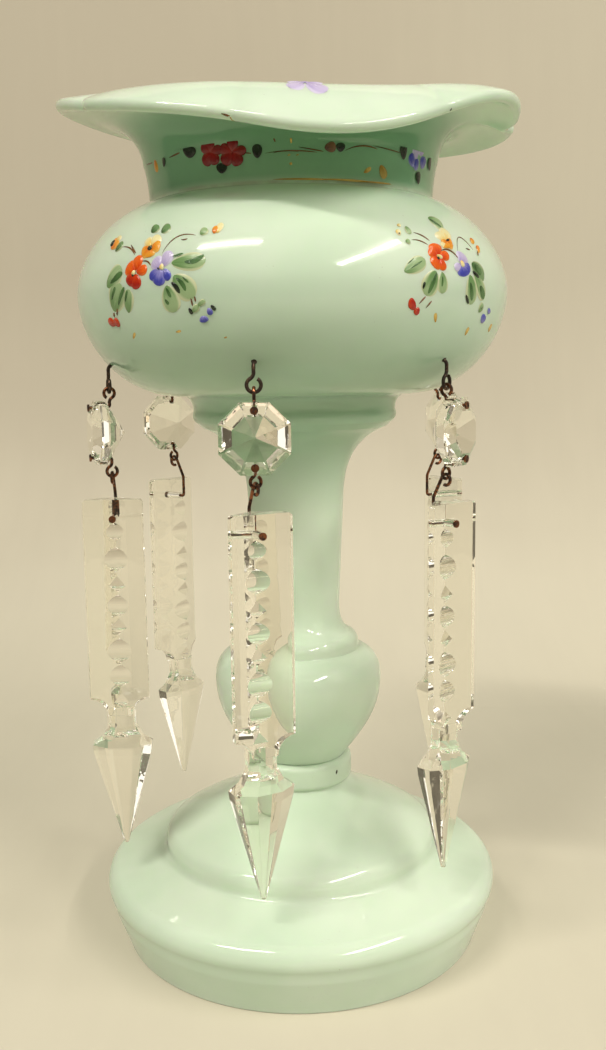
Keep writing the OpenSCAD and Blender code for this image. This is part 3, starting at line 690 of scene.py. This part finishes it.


# The pale edge of leaves and moss is partly the thin paste's own colour and partly a painted highlight on the
# raised rim of the enamel
PALE_EDGE_AND_HIGHLIGHT = (0.70, 0.72, 0.46)
ENAMEL_TINTS = {
    "leaf": ((0.17, 0.31, 0.11), (0.36, 0.50, 0.25), PALE_EDGE_AND_HIGHLIGHT, 0.9),
    "moss": ((0.05, 0.13, 0.035), (0.17, 0.30, 0.12), PALE_EDGE_AND_HIGHLIGHT, 0.6),
    "streak": ((0.035, 0.10, 0.025), (0.09, 0.20, 0.06), (0.2, 0.3, 0.12), 0.4, 0.0, 0.7),
    "dark": ((0.006, 0.010, 0.006), (0.020, 0.035, 0.016), (0.02, 0.03, 0.015)),
    "twig": ((0.09, 0.032, 0.012), (0.22, 0.085, 0.025), (0.20, 0.10, 0.035)),
    "vermilion": ((0.70, 0.055, 0.006), (0.86, 0.13, 0.008), (0.88, 0.24, 0.05)),
    "crimson": ((0.66, 0.050, 0.006), (0.44, 0.016, 0.006), (0.62, 0.09, 0.02)),
    "maroon": ((0.34, 0.012, 0.007), (0.24, 0.006, 0.005), (0.16, 0.006, 0.005)),
    "lilac": ((0.46, 0.37, 0.68), (0.60, 0.52, 0.76), (0.74, 0.70, 0.86), 0.7),
    "blue": ((0.30, 0.28, 0.64), (0.060, 0.070, 0.44), (0.32, 0.33, 0.70), 0.4),
    "cream": ((0.90, 0.62, 0.16), (0.92, 0.82, 0.44), (0.92, 0.88, 0.62), 0.6),
    "orange": ((0.80, 0.20, 0.012), (0.88, 0.36, 0.03), (0.90, 0.60, 0.16), 0.6),
    "gold": ((0.55, 0.34, 0.06), (0.78, 0.55, 0.16), (0.42, 0.30, 0.10), 0.6, 0.5, 0.9),
    # Painted shade: near-black discs in the bores' mouths, and the dark chip on the foot's bead
    "bore_shade_and_chip": ((0.012, 0.010, 0.007), (0.05, 0.045, 0.03), (0.06, 0.07, 0.045), 0.4),
}
enamels = {group: enamel_finish("enamel_" + group, *tints) for group, tints in ENAMEL_TINTS.items()}
print("enamel:", len(enamels), "colours")

# %% [markdown]
# Two sprays face the camera and differ as hand work does, so each has its own plan. Five
# sprays fill the bowl at their spacing; the three at the back repeat the two plans, each a
# little shifted. The flowers are built as they were painted: leaves first with dark strokes
# over them, then petals from the middle outward, and the stamens last.


# %% Plan of the left spray
def tell(title, plan):
    """Prints how many touches a plan has."""
    print(title, sum(map(len, plan.values())), "touches")


SPRAY_LEFT = {
    "leaf": [(-19.7, -4.5, -11.9, 0.5, 7), (-17.4, -12.3, -12.1, -4.1, 8.8), (-9.8, -13.2, -8, -6.2, 4.7),
        (9.2, 0.8, 20.8, 0.8, 5.2), (10.3, -3.2, 17.1, -9.6, 6.6), (7.7, -5.9, 9.5, -13.8, 6.1),
        (15.8, -14.1, 18.1, -12.1, 2), (17.9, -12.2, 20.5, -10.7, 1.6), (17.8, 9.4, 19.5, 11.6, 3)],
    "moss": [(-2.7, 12, -0.9, 14.7, 5), (1.9, 11.6, 4.5, 14.2, 4.6), (-18.6, 6.9, -15.8, 9.8, 3.7)],
    "streak": [(-17.5, -3.7, -11.3, -0.8, 2.8), (-17.2, -8.9, -14.5, -5, 1.7), (-14, -10.6, -9.9, -5.3, 1.8),
        (-10.2, -9.9, -8.5, -6.4, 1.3), (13.5, 0.8, 20.2, 2.5, 2.2, 0.12), (9.3, 2.7, 13.1, 3.4, 0.8),
        (11.3, -3.9, 14.5, -7.7, 1.8, -0.1), (13.5, -3.7, 15.6, -5.4, 0.8), (7.7, -6.6, 9.1, -9.4, 1.4),
        (6.9, -9.9, 8, -11.4, 1.4)],
    "dark": [(9.5, -5.1, 12.6, -8.4, 1.8, -0.08), (14.8, -12.8, 15.7, -14.6, 1.3),
        (22.2, -12.2, 23.6, -13.7, 1.2)],
    "vermilion": [(-4.2, -0.6, -5.2, 4.2, 3.7), (-5.6, -1.5, -9.3, 1.6, 4.3), (-4.7, -1, -0.1, -0.5, 2.8)],
    "crimson": [(-5.8, -1.5, -7.9, -5, 4), (-5, -1.8, -4.2, -6.3, 3.6), (-20.4, -14.2, -21, -17.1, 3.6),
        (-17.1, -14.4, -18, -17.3, 2.8)],
    "lilac": [(5.5, -0.6, 2, 2.4, 3.9), (6.1, -0.1, 8.1, 4.6, 3.7)],
    "blue": [(6.6, -0.9, 8.7, -4.3, 2.5), (5.4, -0.9, 4.5, -5.8, 4.1), (5.1, -1, 1.3, -3.6, 2.9),
        (19, -15.3, 19.4, -17.3, 2.7), (21.2, -13, 21.9, -15.1, 1.7)],
    "cream": [(-0.3, 6.9, 1.7, 10.6, 4), (-0.7, 7, -3.5, 9.8, 2.8), (23.5, 9.7, 24.1, 13.5, 2.1),
        (-20.5, 10.7, -19.5, 12.7, 2.8)],
    "orange": [(-0.4, 6.1, -3.8, 4.6, 3.8), (-0.4, 6, -0.2, 3.1, 3.8), (0, 6.2, 3.5, 7.1, 3.7),
        (-22.1, 8, -20, 11.5, 4.9), (22.4, 9.5, 22.7, 12.3, 1.9)],
    "twig": [(-15.6, 8, -6.9, 4.5, 0.6, -0.12), (-10.7, 8.4, -6.6, 5, 0.7), (4.9, 3.8, 16.1, 9.4, 0.5, -0.24),
        (11, 8.3, 13.4, 8.4, 0.5, 0.1), (-2.8, 2.1, 1.2, 0.5, 0.6, -0.15), (-18.1, -14.2, -17.6, -12.8, 0.8),
        (-16.3, -13.8, -14.9, -11.5, 0.7), (15.9, -9.8, 16.1, -12.2, 0.6), (17.2, -9.4, 17.3, -11, 0.6)],
    "gold": [(-12.1, -21.7, -9.7, -19.6, 1.3), (8, -20.1, 10.2, -19.7, 1), (24.7, -22.5, 25.8, -22.1, 0.7)],
}
STAMENS_LEFT = {
    "cream": [(-6.4, -1.6, -4.9, -1.1, 1.5), (5, -0.5, 6.6, -0.1, 1.9)],
    "dark": [(-1.4, 5.9, 0.4, 6.3, 1.8), (-23.3, 9.4, -21.1, 10.4, 2.5), (-6.1, -2.3, -5.6, -1.9, 0.9),
        (4.5, -1, 4.8, -0.6, 0.9)],
}
tell("left spray:", SPRAY_LEFT)

# %% Plan of the right spray
SPRAY_RIGHT = {
    "leaf": [(-2.3, 16.8, 3.1, 13.6, 5.7), (-19, -2.9, -10.8, 1, 4.7), (-7.1, -2.3, -11.2, -9.5, 6.1),
        (-4.6, -2.5, -4.3, -8.9, 4.1), (8.8, -2.7, 10.6, -11.7, 5.9), (11.4, -2.2, 18, -9.7, 4.9),
        (16.1, -13.8, 18.2, -11.2, 3), (-14.9, 12.2, -14.2, 9.3, 2.3), (-16.9, 6.6, -15.1, 6.7, 1.8)],
    "moss": [(10.9, 1.1, 17.5, -3.5, 7)],
    "streak": [(-2.3, 16.2, 1.5, 13.1, 1.6), (-17.9, -0.7, -15.2, 1.2, 0.5), (-16.9, -2, -12.1, 0.6, 0.6),
        (-7.1, -2.9, -10.2, -9, 1.8), (-4.7, -3.8, -4.9, -6.9, 0.9), (8.6, -5, 10.2, -10.5, 2.4),
        (14, -5.5, 17.6, -9.5, 3.2), (12, 0.6, 15.5, -1.9, 3.2)],
    "dark": [(-12.3, -7.8, -11.7, -5.7, 1), (6.7, -8.8, 8.8, -11.5, 1.1), (16.8, -13.3, 17.6, -11.8, 1),
        (10.4, -1.4, 13.8, -3.2, 1.4)],
    "vermilion": [(-5.2, 2.6, -5.7, 6.7, 4.7), (-5.7, 2.3, -8.2, 4.9, 3.6), (-4.6, 2.2, -0.2, 3.2, 2.7),
        (-5.2, 2, -8, -1, 3.8), (-4.5, 1.8, -3.8, -2, 2.9)],
    "crimson": [(-16.9, -13.2, -14.6, -11.8, 3.3), (-14.8, -14.5, -12.5, -14.5, 2)],
    "lilac": [(5.1, 0.4, 7.2, 4.3, 4.7), (4.7, 0.4, 1.4, -1.3, 2.3)],
    "blue": [(5.2, 0.4, 5.7, -3.4, 5.2), (5.6, 0.5, 9.2, -1.5, 3.6), (20.4, -17.3, 21.5, -14.6, 3.5),
        (23.3, -14.1, 24.2, -12.6, 2.3)],
    "cream": [(0.2, 7.7, -0.3, 11.5, 5.8), (0.3, 7.9, 3.1, 12.7, 4.4), (0.4, 7.6, -2.7, 6, 1.6),
        (-19.5, 10, -17.6, 9.6, 2), (-18.1, 12.3, -16.6, 12.6, 1.1)],
    "orange": [(0.4, 7.7, 0.8, 5.4, 4.8), (0.2, 7.7, 3.4, 7, 3.7), (0.7, 7.8, -1.9, 7.1, 1.9),
        (16.2, 10.4, 17.2, 8.4, 2.4), (17.6, 7.3, 19.2, 6.1, 2.8)],
    "twig": [(-12.8, 10.1, -6.9, 7.4, 0.7, -0.08), (-14.5, 7.3, -8.2, 5.9, 0.5, -0.1),
        (4.8, 4.5, 14.5, 5.9, 0.4, -0.5), (10, 6.1, 12.4, 5.8, 0.6), (-3.9, 4.1, 4.1, 2.3, 0.7, -0.2),
        (-13.2, -12.2, -11, -10, 0.6), (-10.3, -13.4, -8.4, -11.2, 0.6), (17, 5.5, 16.5, 4.1, 0.8)],
    "gold": [(-4.9, -17.9, -6, -14.8, 1.7), (12.9, -21.9, 13, -19, 2.4), (31.3, -20.2, 30.2, -17.4, 3.7)],
}
STAMENS_RIGHT = {
    "cream": [(-6.1, 2.5, -3.7, 2, 1.3), (4.6, 1.5, 5.7, -0.4, 1.8)],
    "dark": [(0.3, 7.9, 2.1, 8.3, 0.8), (-18.9, 9, -18.4, 9.2, 0.5), (-6.1, 1.9, -5.3, 1.4, 0.9)],
}
tell("right spray:", SPRAY_RIGHT)

# %% [markdown]
# Round the neck runs a band of leaves, flowers and twigs, which half a turn repeats. Violet
# flowers sit on the rim, and the lip has a few small worn marks.

# %% Plans of the neck, the rim and the lip
NECK_BAND = {
    "twig": [(-64.9, 1.8, -56.9, 1.1, 0.5), (-44.9, 0.6, -38.8, 1.3, 0.6), (-41.3, 3, -37.7, 2.1, 0.5, -0.1),
        (-15.9, -1.2, -12, -1.7, 0.4), (-7.8, -1.9, 8.7, -1.8, 0.4, -0.03),
        (-5.1, -1.9, 2.8, -1.6, 0.4, -0.05), (2.8, -0.3, 10.7, -1.5, 0.4), (17.6, -1, 29.3, 0.3, 0.5, -0.1),
        (27.5, 1.2, 39, 0.4, 0.4), (-5.2, 3.7, -4.3, 1.2, 0.5), (11, -0.4, 14.6, 0.1, 3.4)],
    "dark": [(-48.7, -1.6, -47.6, 1.2, 2), (-34.8, -0.9, -33.9, 2.8, 5.5), (-22.5, -6.9, -22.3, -3.8, 3.8),
        (-10.2, -3.2, -10, 0.9, 3.1), (16.2, -1.4, 16.1, 1.3, 2.9), (41.2, -1.4, 39.9, 3.3, 3.3),
        (50.4, 2.6, 51.6, 6.2, 2.6), (59.9, -2.1, 57.7, 1.6, 3), (51.2, -7.8, 50.2, -4, 3.4)],
    "moss": [(-33.9, 0, -32.6, 1.7, 1.9), (-22.4, -4.9, -21.5, -4.1, 1.7)],
    "maroon": [(-25.9, -0.6, -26.3, 3.6, 3.8), (-25.9, -0.6, -29.1, 2.3, 3.5), (-25.9, -0.3, -21.8, 0.5, 3),
        (-25.8, 0, -28.9, -3.8, 4), (-25.5, -0.1, -24.4, -4.1, 3.7), (-18.3, -1, -17.8, 3.4, 3.7),
        (-18.3, -1.2, -22.4, 0.9, 3.6), (-18.3, -1, -13.6, -0.5, 3), (-18.8, -0.7, -21.7, -4.3, 4.1),
        (-17.9, -0.8, -16.2, -5, 4.1)],
    "blue": [(47.4, -2.8, 44.5, 0.8, 3.1), (49.4, -3.7, 47.9, -0.3, 3.3), (53, -2.7, 53.6, 1.2, 3.9)],
    "lilac": [(48, -0.6, 47.1, 4.1, 3.4), (51.1, 1, 50.7, 4.1, 3.3)],
    "orange": [(-54.4, 1.6, -54.6, -2.4, 2.4)],
    "gold": [(0.4, 3.4, 0.6, 0.7, 0.8), (-0.1, -5.2, 0.8, -5.1, 1.1), (-0.7, -2.7, 0.3, -2.5, 0.5),
        (2, -2.7, 2.9, -2.5, 0.5), (24.7, -7.1, 27.4, -5.4, 1.8), (31.1, -4.3, 33.4, -8.1, 4),
        (27.6, 4.6, 28.8, 5.8, 1.6), (29.4, 2.6, 30.4, 4.6, 1.3), (30.9, 4.9, 32.2, 5.8, 1.4),
        (-5.4, -9.7, 13, -9.8, 0.8), (9, -9.7, 28, -9.8, 1), (22, -9.8, 36, -9.7, 0.8)],
}
RIM_PETALS = [(-0.8, 0, -4.6, 4.4, 4.4), (0.6, 0.2, 5, 5.6, 4.8), (0.4, -0.4, 5.4, -2, 3.8),
    (-0.6, -0.4, -5.2, -2.2, 3.8), (0, -0.6, 0.4, -5.4, 4)]
RIM_FLOWERS, RIM_CREST_R, RIM_CREST_T, RIM_SPAN = (4.4, 63, 194, 268), 66, 0.61, 34
LIP_MARKS = {
    "twig": [(-19.4, 0.9, -16.7, 0.4, 0.9), (-77, -0.4, -76.2, -0.9, 0.9)],
    "gold": [(-17, 0.5, -15.9, -1.9, 1), (115, 0.5, 116.4, -0.6, 0.8)],
    "dark": [(-19, 0.8, -17.4, 0.7, 0.5), (52.4, 0.6, 52.5, -0.4, 0.6)],
}
tell("neck band:", NECK_BAND)
tell("lip:", LIP_MARKS)

# %% [markdown]
# Each colour has its own thickness, the height of the layer that it lies on, and a breadth,
# because a thick paste spreads wider than the brush. All the touches of one colour become one
# piece. The shade inside the mouths of the bores is painted as dark discs, and a dark chip on the foot's bead
# is laid on in the same way.

# %% Painting
BROAD = 1.2
THICK = {
    "leaf": (0.26, 0, 1.08), "moss": (0.28, 0.02), "streak": (0.04, 0.24), "dark": (0.12, 0.24),
    "twig": (0.16, 0.02, 0.9), "vermilion": (0.36, 0.05, BROAD), "crimson": (0.36, 0.08, BROAD),
    "maroon": (0.42, 0.05), "lilac": (0.34, 0.05, BROAD), "blue": (0.34, 0.08, 1.15),
    "cream": (0.32, 0.05, BROAD), "orange": (0.34, 0.08, BROAD), "gold": (0.04, 0.02), "bore_shade_and_chip": (0.02, 0),
}
STAMEN_THICK, LIP_THICK = (0.3, 0.4), 0.02
SPRAY_Z, NECK_MID_R, NECK_MID_Z = 243, 51.5, 280
BORE_TURNS = (-132, -70, -10, 47, 122, 178)
BORE_D, BORE_R, BORE_Z = 2.6, 66.8, 214.3
# The shade inside each bore's mouth is painted as a dark disc
BORE_MOUTH = {"bore_shade_and_chip": [(-BORE_D / 2, 0, BORE_D / 2, 0, BORE_D)]}
CHIP, CHIP_TURN, CHIP_Z = (-0.3, -1.1, 0.3, 1.2, 1.3), 44, 63
SPRAYS = [
    (SPRAY_LEFT, STAMENS_LEFT, -34.9, 0),
    (SPRAY_RIGHT, STAMENS_RIGHT, 40.5, 0),
    (SPRAY_LEFT, STAMENS_LEFT, 112, 1.5),
    (SPRAY_RIGHT, STAMENS_RIGHT, 186, -1),
    (SPRAY_LEFT, STAMENS_LEFT, 258, -0.5),
]
spray_reach, neck_reach, bore_reach = np.interp((SPRAY_Z, NECK_MID_Z, BORE_Z), outside[:, 1], climb)
patches = {group: [] for group in enamels}


def lay(plan, middle, reach, radius, thick=None):
    """Lays a plan on the outside of the vase, round a middle angle and a reach up its outline."""
    for group, rows in plan.items():
        right, up, lift = touches(rows, *(thick or THICK[group]))
        patches[group].append(on_outside(middle + np.degrees(right / radius), reach + up, lift))


for plan, stamens, middle, shift in SPRAYS:
    lay(plan, middle, spray_reach + shift, BOWL_R)
    lay(stamens, middle, spray_reach + shift, BOWL_R, STAMEN_THICK)
for half_turn in (0, 180):
    lay(NECK_BAND, half_turn, neck_reach, NECK_MID_R)
for middle in RIM_FLOWERS:
    right, up, lift = touches(RIM_PETALS, *THICK["lilac"])
    azimuth = middle + np.degrees(right / RIM_CREST_R)
    patches["lilac"].append(on_rim(azimuth, RIM_CREST_T + up / RIM_SPAN, lift))
for group, rows in LIP_MARKS.items():
    right, up, lift = touches(rows, LIP_THICK)
    patches[group].append(on_lip(np.degrees(right / RIM_R), np.degrees(up / (LIP_T / 2)), lift))
right, up, lift = touches([CHIP], *THICK["bore_shade_and_chip"])
patches["bore_shade_and_chip"].append(round_axis(BEAD_R + lift, CHIP_Z + up, CHIP_TURN + np.degrees(right / BEAD_R)))
for azimuth in BORE_TURNS:
    lay(BORE_MOUTH, azimuth, bore_reach, BORE_R)
for seed, (group, grids) in enumerate(patches.items()):
    piece = painted("enamel_" + group, grids, enamels[group], seed)
    print(piece.name, len(piece.data.polygons), "quads")

# %% [markdown]
# ## Cut crystal
#
# The buttons and prisms keep their measured solids, because their look is all in flat faces
# and sharp edges. The glass is clear and almost without colour. Handling leaves a faint film
# that breaks up the polish, and the hand-held wheel leaves each face a little uneven.

# %% Crystal finish
crystal, crystal_shader, place, _ = start_finish(
    "cut_crystal", Base_Color=(0.975, 0.96, 0.90), IOR=1.50, Transmission_Weight=1.0
)
film = place.noise(0.01, 4, 0.65).step(0.5, 0.8)
smear = place.noise(0.004, 1)
feed(crystal_shader, Roughness=0.005 + 0.05 * film, Normal=smear.bump(0.00005, 0.5))
print("crystal: film and uneven faces")

# %% [markdown]
# ## Wires
#
# The pins in the bowl are iron gone dark, and the links are copper that has tarnished
# unevenly, with spots here and there where the bare metal shows. Both are metal under a
# patchy skin: the skin sets the colour and how dull it is.


# %% Wire finishes
def wire_finish(name, bare, skin, spread):
    """Drawn metal under tarnish: noise of two sizes decides where the skin is whole."""
    made, shader, place, _ = start_finish(name)
    cover = (place.noise(0.0016, 3) + 0.5 * place.noise(0.0005, 2)).step(spread, spread + 0.18)
    grit = place.noise(0.00025, 2)
    feed(shader, Base_Color=cover.mix(bare, skin), Metallic=1 - 0.55 * cover,
         Roughness=0.3 + 0.35 * cover, Normal=grit.bump(0.00004, 0.6))
    return made


iron = wire_finish("dark_iron", (0.16, 0.10, 0.07), (0.030, 0.018, 0.012), 0.58)
copper = wire_finish("tarnished_copper", (0.30, 0.115, 0.055), (0.038, 0.019, 0.012), 0.62)

finishes = {"crystal": crystal, "iron_wire": iron, "copper_wire": copper}
dressed = 0
for part in frame["record"]["subparts"]:
    finish = finishes.get(part["material_slot"])
    if finish:
        materials = nodes[part["node"]].data.materials
        materials.clear()
        materials.append(finish)
        dressed += 1
print("finishes:", dressed, "measured pieces dressed")

# %% [markdown]
# ## The stage
#
# A pale cloth lies under the foot and runs up the wall behind it in one sweep, so there is no
# corner to see, and the floor goes on behind that wall. Its weave is far too fine to model,
# and its slow folds are painted into its colour as shade, as is the dimmer wall, darker still
# to the left. What the eye sees, directly, in polish or through crystal, has the cloth's full
# colour and a faint glow that keeps the shadows open. Light that it scatters back onto the
# glass is held down, because a real cloth ends at the table's edge. The back of the cloth is
# clear, so that the object can be seen from behind too.

# %% Stage
CLOTH = (0.535, 0.490, 0.385)
# Painted shade: the share of the cloth's colour that is left on the wall
WALL_SHADE_SHARE = 0.80
CLOTH_IN_SHADE = tuple(WALL_SHADE_SHARE * tint for tint in CLOTH)
GLOW, WALL_GLOW = (0.200, 0.178, 0.128), (0.125, 0.095, 0.062)
NEAR_SPILL, SPILL = (0.52, 0.52, 0.45), (0.30, 0.33, 0.25)
WALL_Y, SWEEP_R, WALL_H = 0.55, 0.30, 1.3
HALF_WIDTH, NEAR_Y, FAR_Y = 1.6, -1.0, 2.4


def ray_kinds(start):
    """Three signals: each is 1 for rays of the eye, of polish or of clear glass, and else 0."""
    kinds = "Is Camera Ray", "Is Glossy Ray", "Is Transmission Ray"
    return [start.node("ShaderNodeLightPath", output=kind) for kind in kinds]


cloth, cloth_shader, place, _ = start_finish("pale_cloth", Roughness=0.9, Emission_Strength=1.0)
side_x, rise = place.part(0), place.part(2)
fold_shade = place.noise(0.22, 3).step(0.25, 0.75)
stretch = {"Vector": place, "Scale": (1, 0.2, 0.12)}
thread = place.node("ShaderNodeMapping", None, stretch).noise(0.012, 3)
# Painted shade: the wall is dimmer than the floor, more so to the left, and slow folds shade the cloth
wall_shade = (rise + 0.05 * fold_shade).step(0.03, 0.24) * (1 - 0.35 * side_x.step(-0.1, 0.3))
shown = (0.25 * fold_shade + 0.25 * thread + 0.85 * wall_shade - 0.1).mix(CLOTH, CLOTH_IN_SHADE)
spill = place.off_axis().step(0.12, 0.36).mix(NEAR_SPILL, SPILL)
eye, polish, clear = ray_kinds(place)
seen = eye + polish + clear
glow = wall_shade.mix(GLOW, WALL_GLOW)
feed(cloth_shader, Base_Color=seen.mix(spill, shown), Emission_Color=seen.mix((0, 0, 0), glow))
cloth.cycles.emission_sampling = "NONE"
clear_back = place.node("ShaderNodeMixShader", None, {
    "Fac": place.node("ShaderNodeNewGeometry", output="Backfacing"),
    1: Signal(place.tree, cloth_shader.outputs[0]),
    2: place.node("ShaderNodeBsdfTransparent"),
})
feed(place.tree.nodes["Material Output"], Surface=clear_back)
ground = line((NEAR_Y, 0), (FAR_Y, 0), 24)
sweep = np.concatenate([
    arc((WALL_Y - SWEEP_R, SWEEP_R), SWEEP_R, -90, 0, 24),
    line((WALL_Y, SWEEP_R), (WALL_Y, WALL_H), 8),
])
side = np.linspace(-HALF_WIDTH, HALF_WIDTH, 9)
for name, course in (("cloth_floor", ground), ("cloth_sweep", sweep)):
    sheet_points = np.stack(np.broadcast_arrays(side[None, :], course[:, :1], course[:, 1:]), -1)
    new_piece(name, sheet_points, grid_faces(len(course), len(side), False), cloth)
print("stage: a floor and a sweep of cloth")

# %% [markdown]
# ## Light
#
# Two long strips stand high in front, one to each side. They light the shoulder of the bowl
# and the top of the foot and leave the neck in the shade of the rim, and their reflections
# are the thin bright streaks on the glass. Each strip sits in a wider, dimmer panel that
# gives the streak a soft edge. A broad panel overhead, a low warm one in front and a low one
# at each side fill the rest. Those four are left out of the reflections, where their corners
# would show.

# %% Lights
LAMP_WHITE = (1.0, 0.96, 0.88)
WARM = (1.0, 0.80, 0.60)
LAMP_AIM = np.array([0, 0, 0.2])
STRIP_W, PANEL_W = 0.10, 0.36


def strip_lamp(name, start, end, width, power, colour=LAMP_WHITE, mirrored=True):
    """A lamp as long as the line from start to end, turned about that line to face the object."""
    start, end = np.asarray(start, float), np.asarray(end, float)
    along = (end - start) / np.linalg.norm(end - start)
    back = (start + end) / 2 - LAMP_AIM
    back = back - along * (back @ along)
    back /= np.linalg.norm(back)
    lamp = bpy.data.lights.new(name, "AREA")
    lamp.shape = "RECTANGLE"
    lamp.size, lamp.size_y = np.linalg.norm(end - start), width
    lamp.energy = power
    lamp.color = colour
    stand = bpy.data.objects.new(name, lamp)
    stand.visible_glossy = mirrored
    turn_to = Matrix(np.stack([along, np.cross(back, along), back], 1).tolist())
    stand.matrix_world = Matrix.Translation((start + end) / 2) @ turn_to.to_4x4()
    bpy.context.collection.objects.link(stand)


LEFT_STRIP = (-1.37, -0.84, 1.80), (-0.48, -1.24, 2.05)
RIGHT_STRIP = (0.93, -2.03, 1.29), (1.48, -0.43, 1.85)
strip_lamp("left_strip", *LEFT_STRIP, STRIP_W, 22)
strip_lamp("left_panel", *LEFT_STRIP, PANEL_W, 6.5)
strip_lamp("right_strip", *RIGHT_STRIP, STRIP_W, 27)
strip_lamp("right_panel", *RIGHT_STRIP, PANEL_W, 6)
strip_lamp("overhead", (-0.7, -0.2, 2.2), (0.7, -0.2, 2.2), 1.2, 4, LAMP_WHITE, False)
strip_lamp("front_panel", (-0.7, -1.6, 0.42), (0.7, -1.6, 0.42), 0.5, 2.4, WARM, False)
strip_lamp("right_panel_low", (1.3, -0.8, 0.6), (1.3, 0.4, 0.6), 0.5, 2.2, LAMP_WHITE, False)
strip_lamp("left_panel_low", (-1.3, -0.9, 0.25), (-1.3, 0.1, 0.25), 0.4, 1.4, LAMP_WHITE, False)
print("light: two strips and six panels")

# %% [markdown]
# The room itself is dim. The crystal gathers light from every side, so through clear glass the
# room has a pale ceiling over a dim lower half and not the dark of an empty world, and polish
# shows a little of it. Past the edge of the cloth the eye sees plain beige.

# %% Room
ROOM_FILL = (0.027, 0.029, 0.026)
ROOM_DARK, ROOM_CEILING = (0.12, 0.10, 0.07), (0.70, 0.62, 0.48)
ROOM_PALE = (0.56, 0.47, 0.33)
POLISH_SHARE = 0.2
room = bpy.data.worlds.new("room")
bpy.context.scene.world = room
room.use_nodes = True
background = room.node_tree.nodes["Background"]
start = Signal(room.node_tree, None)
eye, polish, clear = ray_kinds(start)
height = start.node("ShaderNodeTexCoord", output="Generated").part(2)
walls = height.step(0.1, 0.85).mix(ROOM_DARK, ROOM_CEILING)
indoors = (clear + POLISH_SHARE * polish).mix(ROOM_FILL, walls)
feed(background, Color=eye.mix(indoors, ROOM_PALE))
print("room: dim walls and a pale ceiling")

# %% [markdown]
# Light turns back many times inside a cut prism before it finds a face to leave by. With the
# usual limit such paths end too early and leave black bands, so they may go on for longer.

# %% Light paths
GLASS_TURNS = 32
paths = bpy.context.scene.cycles
paths.max_bounces = paths.glossy_bounces = paths.transmission_bounces = GLASS_TURNS
print("light paths: up to", GLASS_TURNS, "turns in glass")
